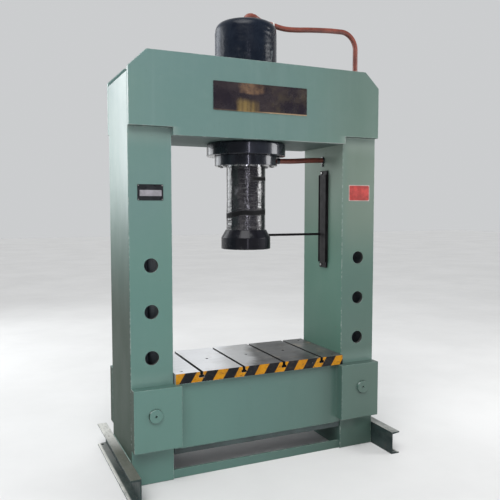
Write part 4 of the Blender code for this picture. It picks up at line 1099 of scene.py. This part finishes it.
# Sign and plates, all bare
def mounted(name, x_span, z_span, y, thick, corner, material, soft=0.0004):
    """A thin plate that faces the front."""
    bm = plate(x_span[1] - x_span[0], z_span[1] - z_span[0], thick, corner, soft)
    where = (sum(x_span) / 2, y, sum(z_span) / 2)
    piece(name, placed(bm, where, (0, -1, 0)), [material])


def small_plate(name, x_span, z_span, base, panel, panel_x, panel_z):
    """A thin plate on a column's face with one blank raised panel and four rivets."""
    face = -FACE - 0.0012
    mounted(name, x_span, z_span, -FACE, 0.0012, 0.004, base)
    mounted(name + "_panel", panel_x, panel_z, face, 0.0003, 0.002, panel, 0.0001)
    heads = []
    r = 0.0028
    profile = [(0, 0), (r, 0), (r * 0.86, r * 0.32), (r * 0.5, r * 0.55), (0, r * 0.62)]
    for x in (x_span[0] + 0.006, x_span[1] - 0.006):
        for z in (z_span[0] + 0.006, z_span[1] - 0.006):
            heads.append(placed(lathe(profile, 20), (x, face, z), (0, -1, 0)))
    piece(name + "_rivets", merged(*heads), [STEEL], smooth=60)


left, left_panel = ((-0.750, -0.605), (1.590, 1.678)), ((-0.737, -0.615), (1.614, 1.647))
right, right_panel = ((0.603, 0.760), (1.593, 1.695)), ((0.608, 0.755), (1.598, 1.690))
small_plate("left_plate", *left, BLACK_PLATE, SILVER_PLATE, *left_panel)
small_plate("right_plate", *right, WHITE_EDGE, RED_PLATE, *right_panel)
mounted("head_sign", SIGN[:2], SIGN[2:], HEAD[0].y, 0.003, 0.003, SIGN_FACE)

# Floor, world, lights and camera
def floor():
    s = Shade("pale_floor", Specular_IOR_Level=0.3)
    s.set("Base Color", s.mix(s.blot(0.8, 5, 0.6, 0.3, 0.7), (0.66, 0.66, 0.655), (0.71, 0.71, 0.705)))
    s.set("Roughness", s.blot(5, 4, 0.6, 0.3, 0.7, 0.55, 0.7))
    bm = bmesh.new()
    bmesh.ops.create_grid(bm, x_segments=4, y_segments=4, size=30)
    mesh = bpy.data.meshes.new("studio_floor")
    bm.to_mesh(mesh)
    bm.free()
    mesh.materials.append(s.material)
    obj = shown("studio_floor", mesh)


def world():
    """A pale backdrop ahead of the camera and a darker room behind it."""
    made = bpy.data.worlds.new("studio")
    s = Nodes(made, "Generated")
    sky = s.node("Background", Color=s.mix(s.ramp("Y", -0.35, 0.55), (0.12, 0.125, 0.135), (0.60, 0.61, 0.62)))
    s.node("OutputWorld", Surface=sky.outputs[0])
    bpy.context.scene.world = made


def soft_light(name, place, target, width, height, power, colour=(1, 1, 1)):
    data = bpy.data.lights.new(name, "AREA")
    data.shape = "RECTANGLE"
    data.size, data.size_y = width, height
    data.energy = power
    data.color = colour
    obj = shown(name, data)
    obj.location = place
    obj.rotation_euler = (Vector(target) - Vector(place)).to_track_quat("-Z", "Y").to_euler()
    obj.visible_camera = False


floor()
world()
sun = shown("sun", bpy.data.lights.new("sun", "SUN"))
sun.data.energy = 2.05
sun.data.angle = math.radians(50)
sun.rotation_euler = Vector((-0.40, -0.50, 1.0)).to_track_quat("Z", "Y").to_euler()
soft_light("key", (-2.0, -3.6, 5.8), (0, 0, 1.9), 3.6, 2.6, 100)
soft_light("window_left", (-4.0, 4.2, 2.9), (-1.0, 0, 1.5), 4.6, 3.4, 160, (0.95, 0.98, 1.0))
soft_light("window_back", (1.4, 5.6, 2.15), (0, 0, 0.6), 1.7, 1.3, 4.5)
soft_light("right_bank", (4.6, -2.2, 2.6), (0, 0, 1.6), 1.9, 2.4, 110)
soft_light("strip", (-1.9, -7.2, 2.2), (0, 0, 1.6), 0.26, 3.6, 42, (0.86, 0.84, 1.0))

camera = shown("camera", bpy.data.cameras.new("camera"))
camera.location = (-1.557, -3.496, 1.547)
camera.rotation_euler = Euler((math.pi / 2 + math.radians(-3.917), 0, -math.radians(24.395)))
camera.data.sensor_width = 36
camera.data.lens = 608.07 / 500 * 36
camera.data.clip_end = 200
bpy.context.scene.camera = camera
bpy.context.scene.view_settings.view_transform = "Standard"
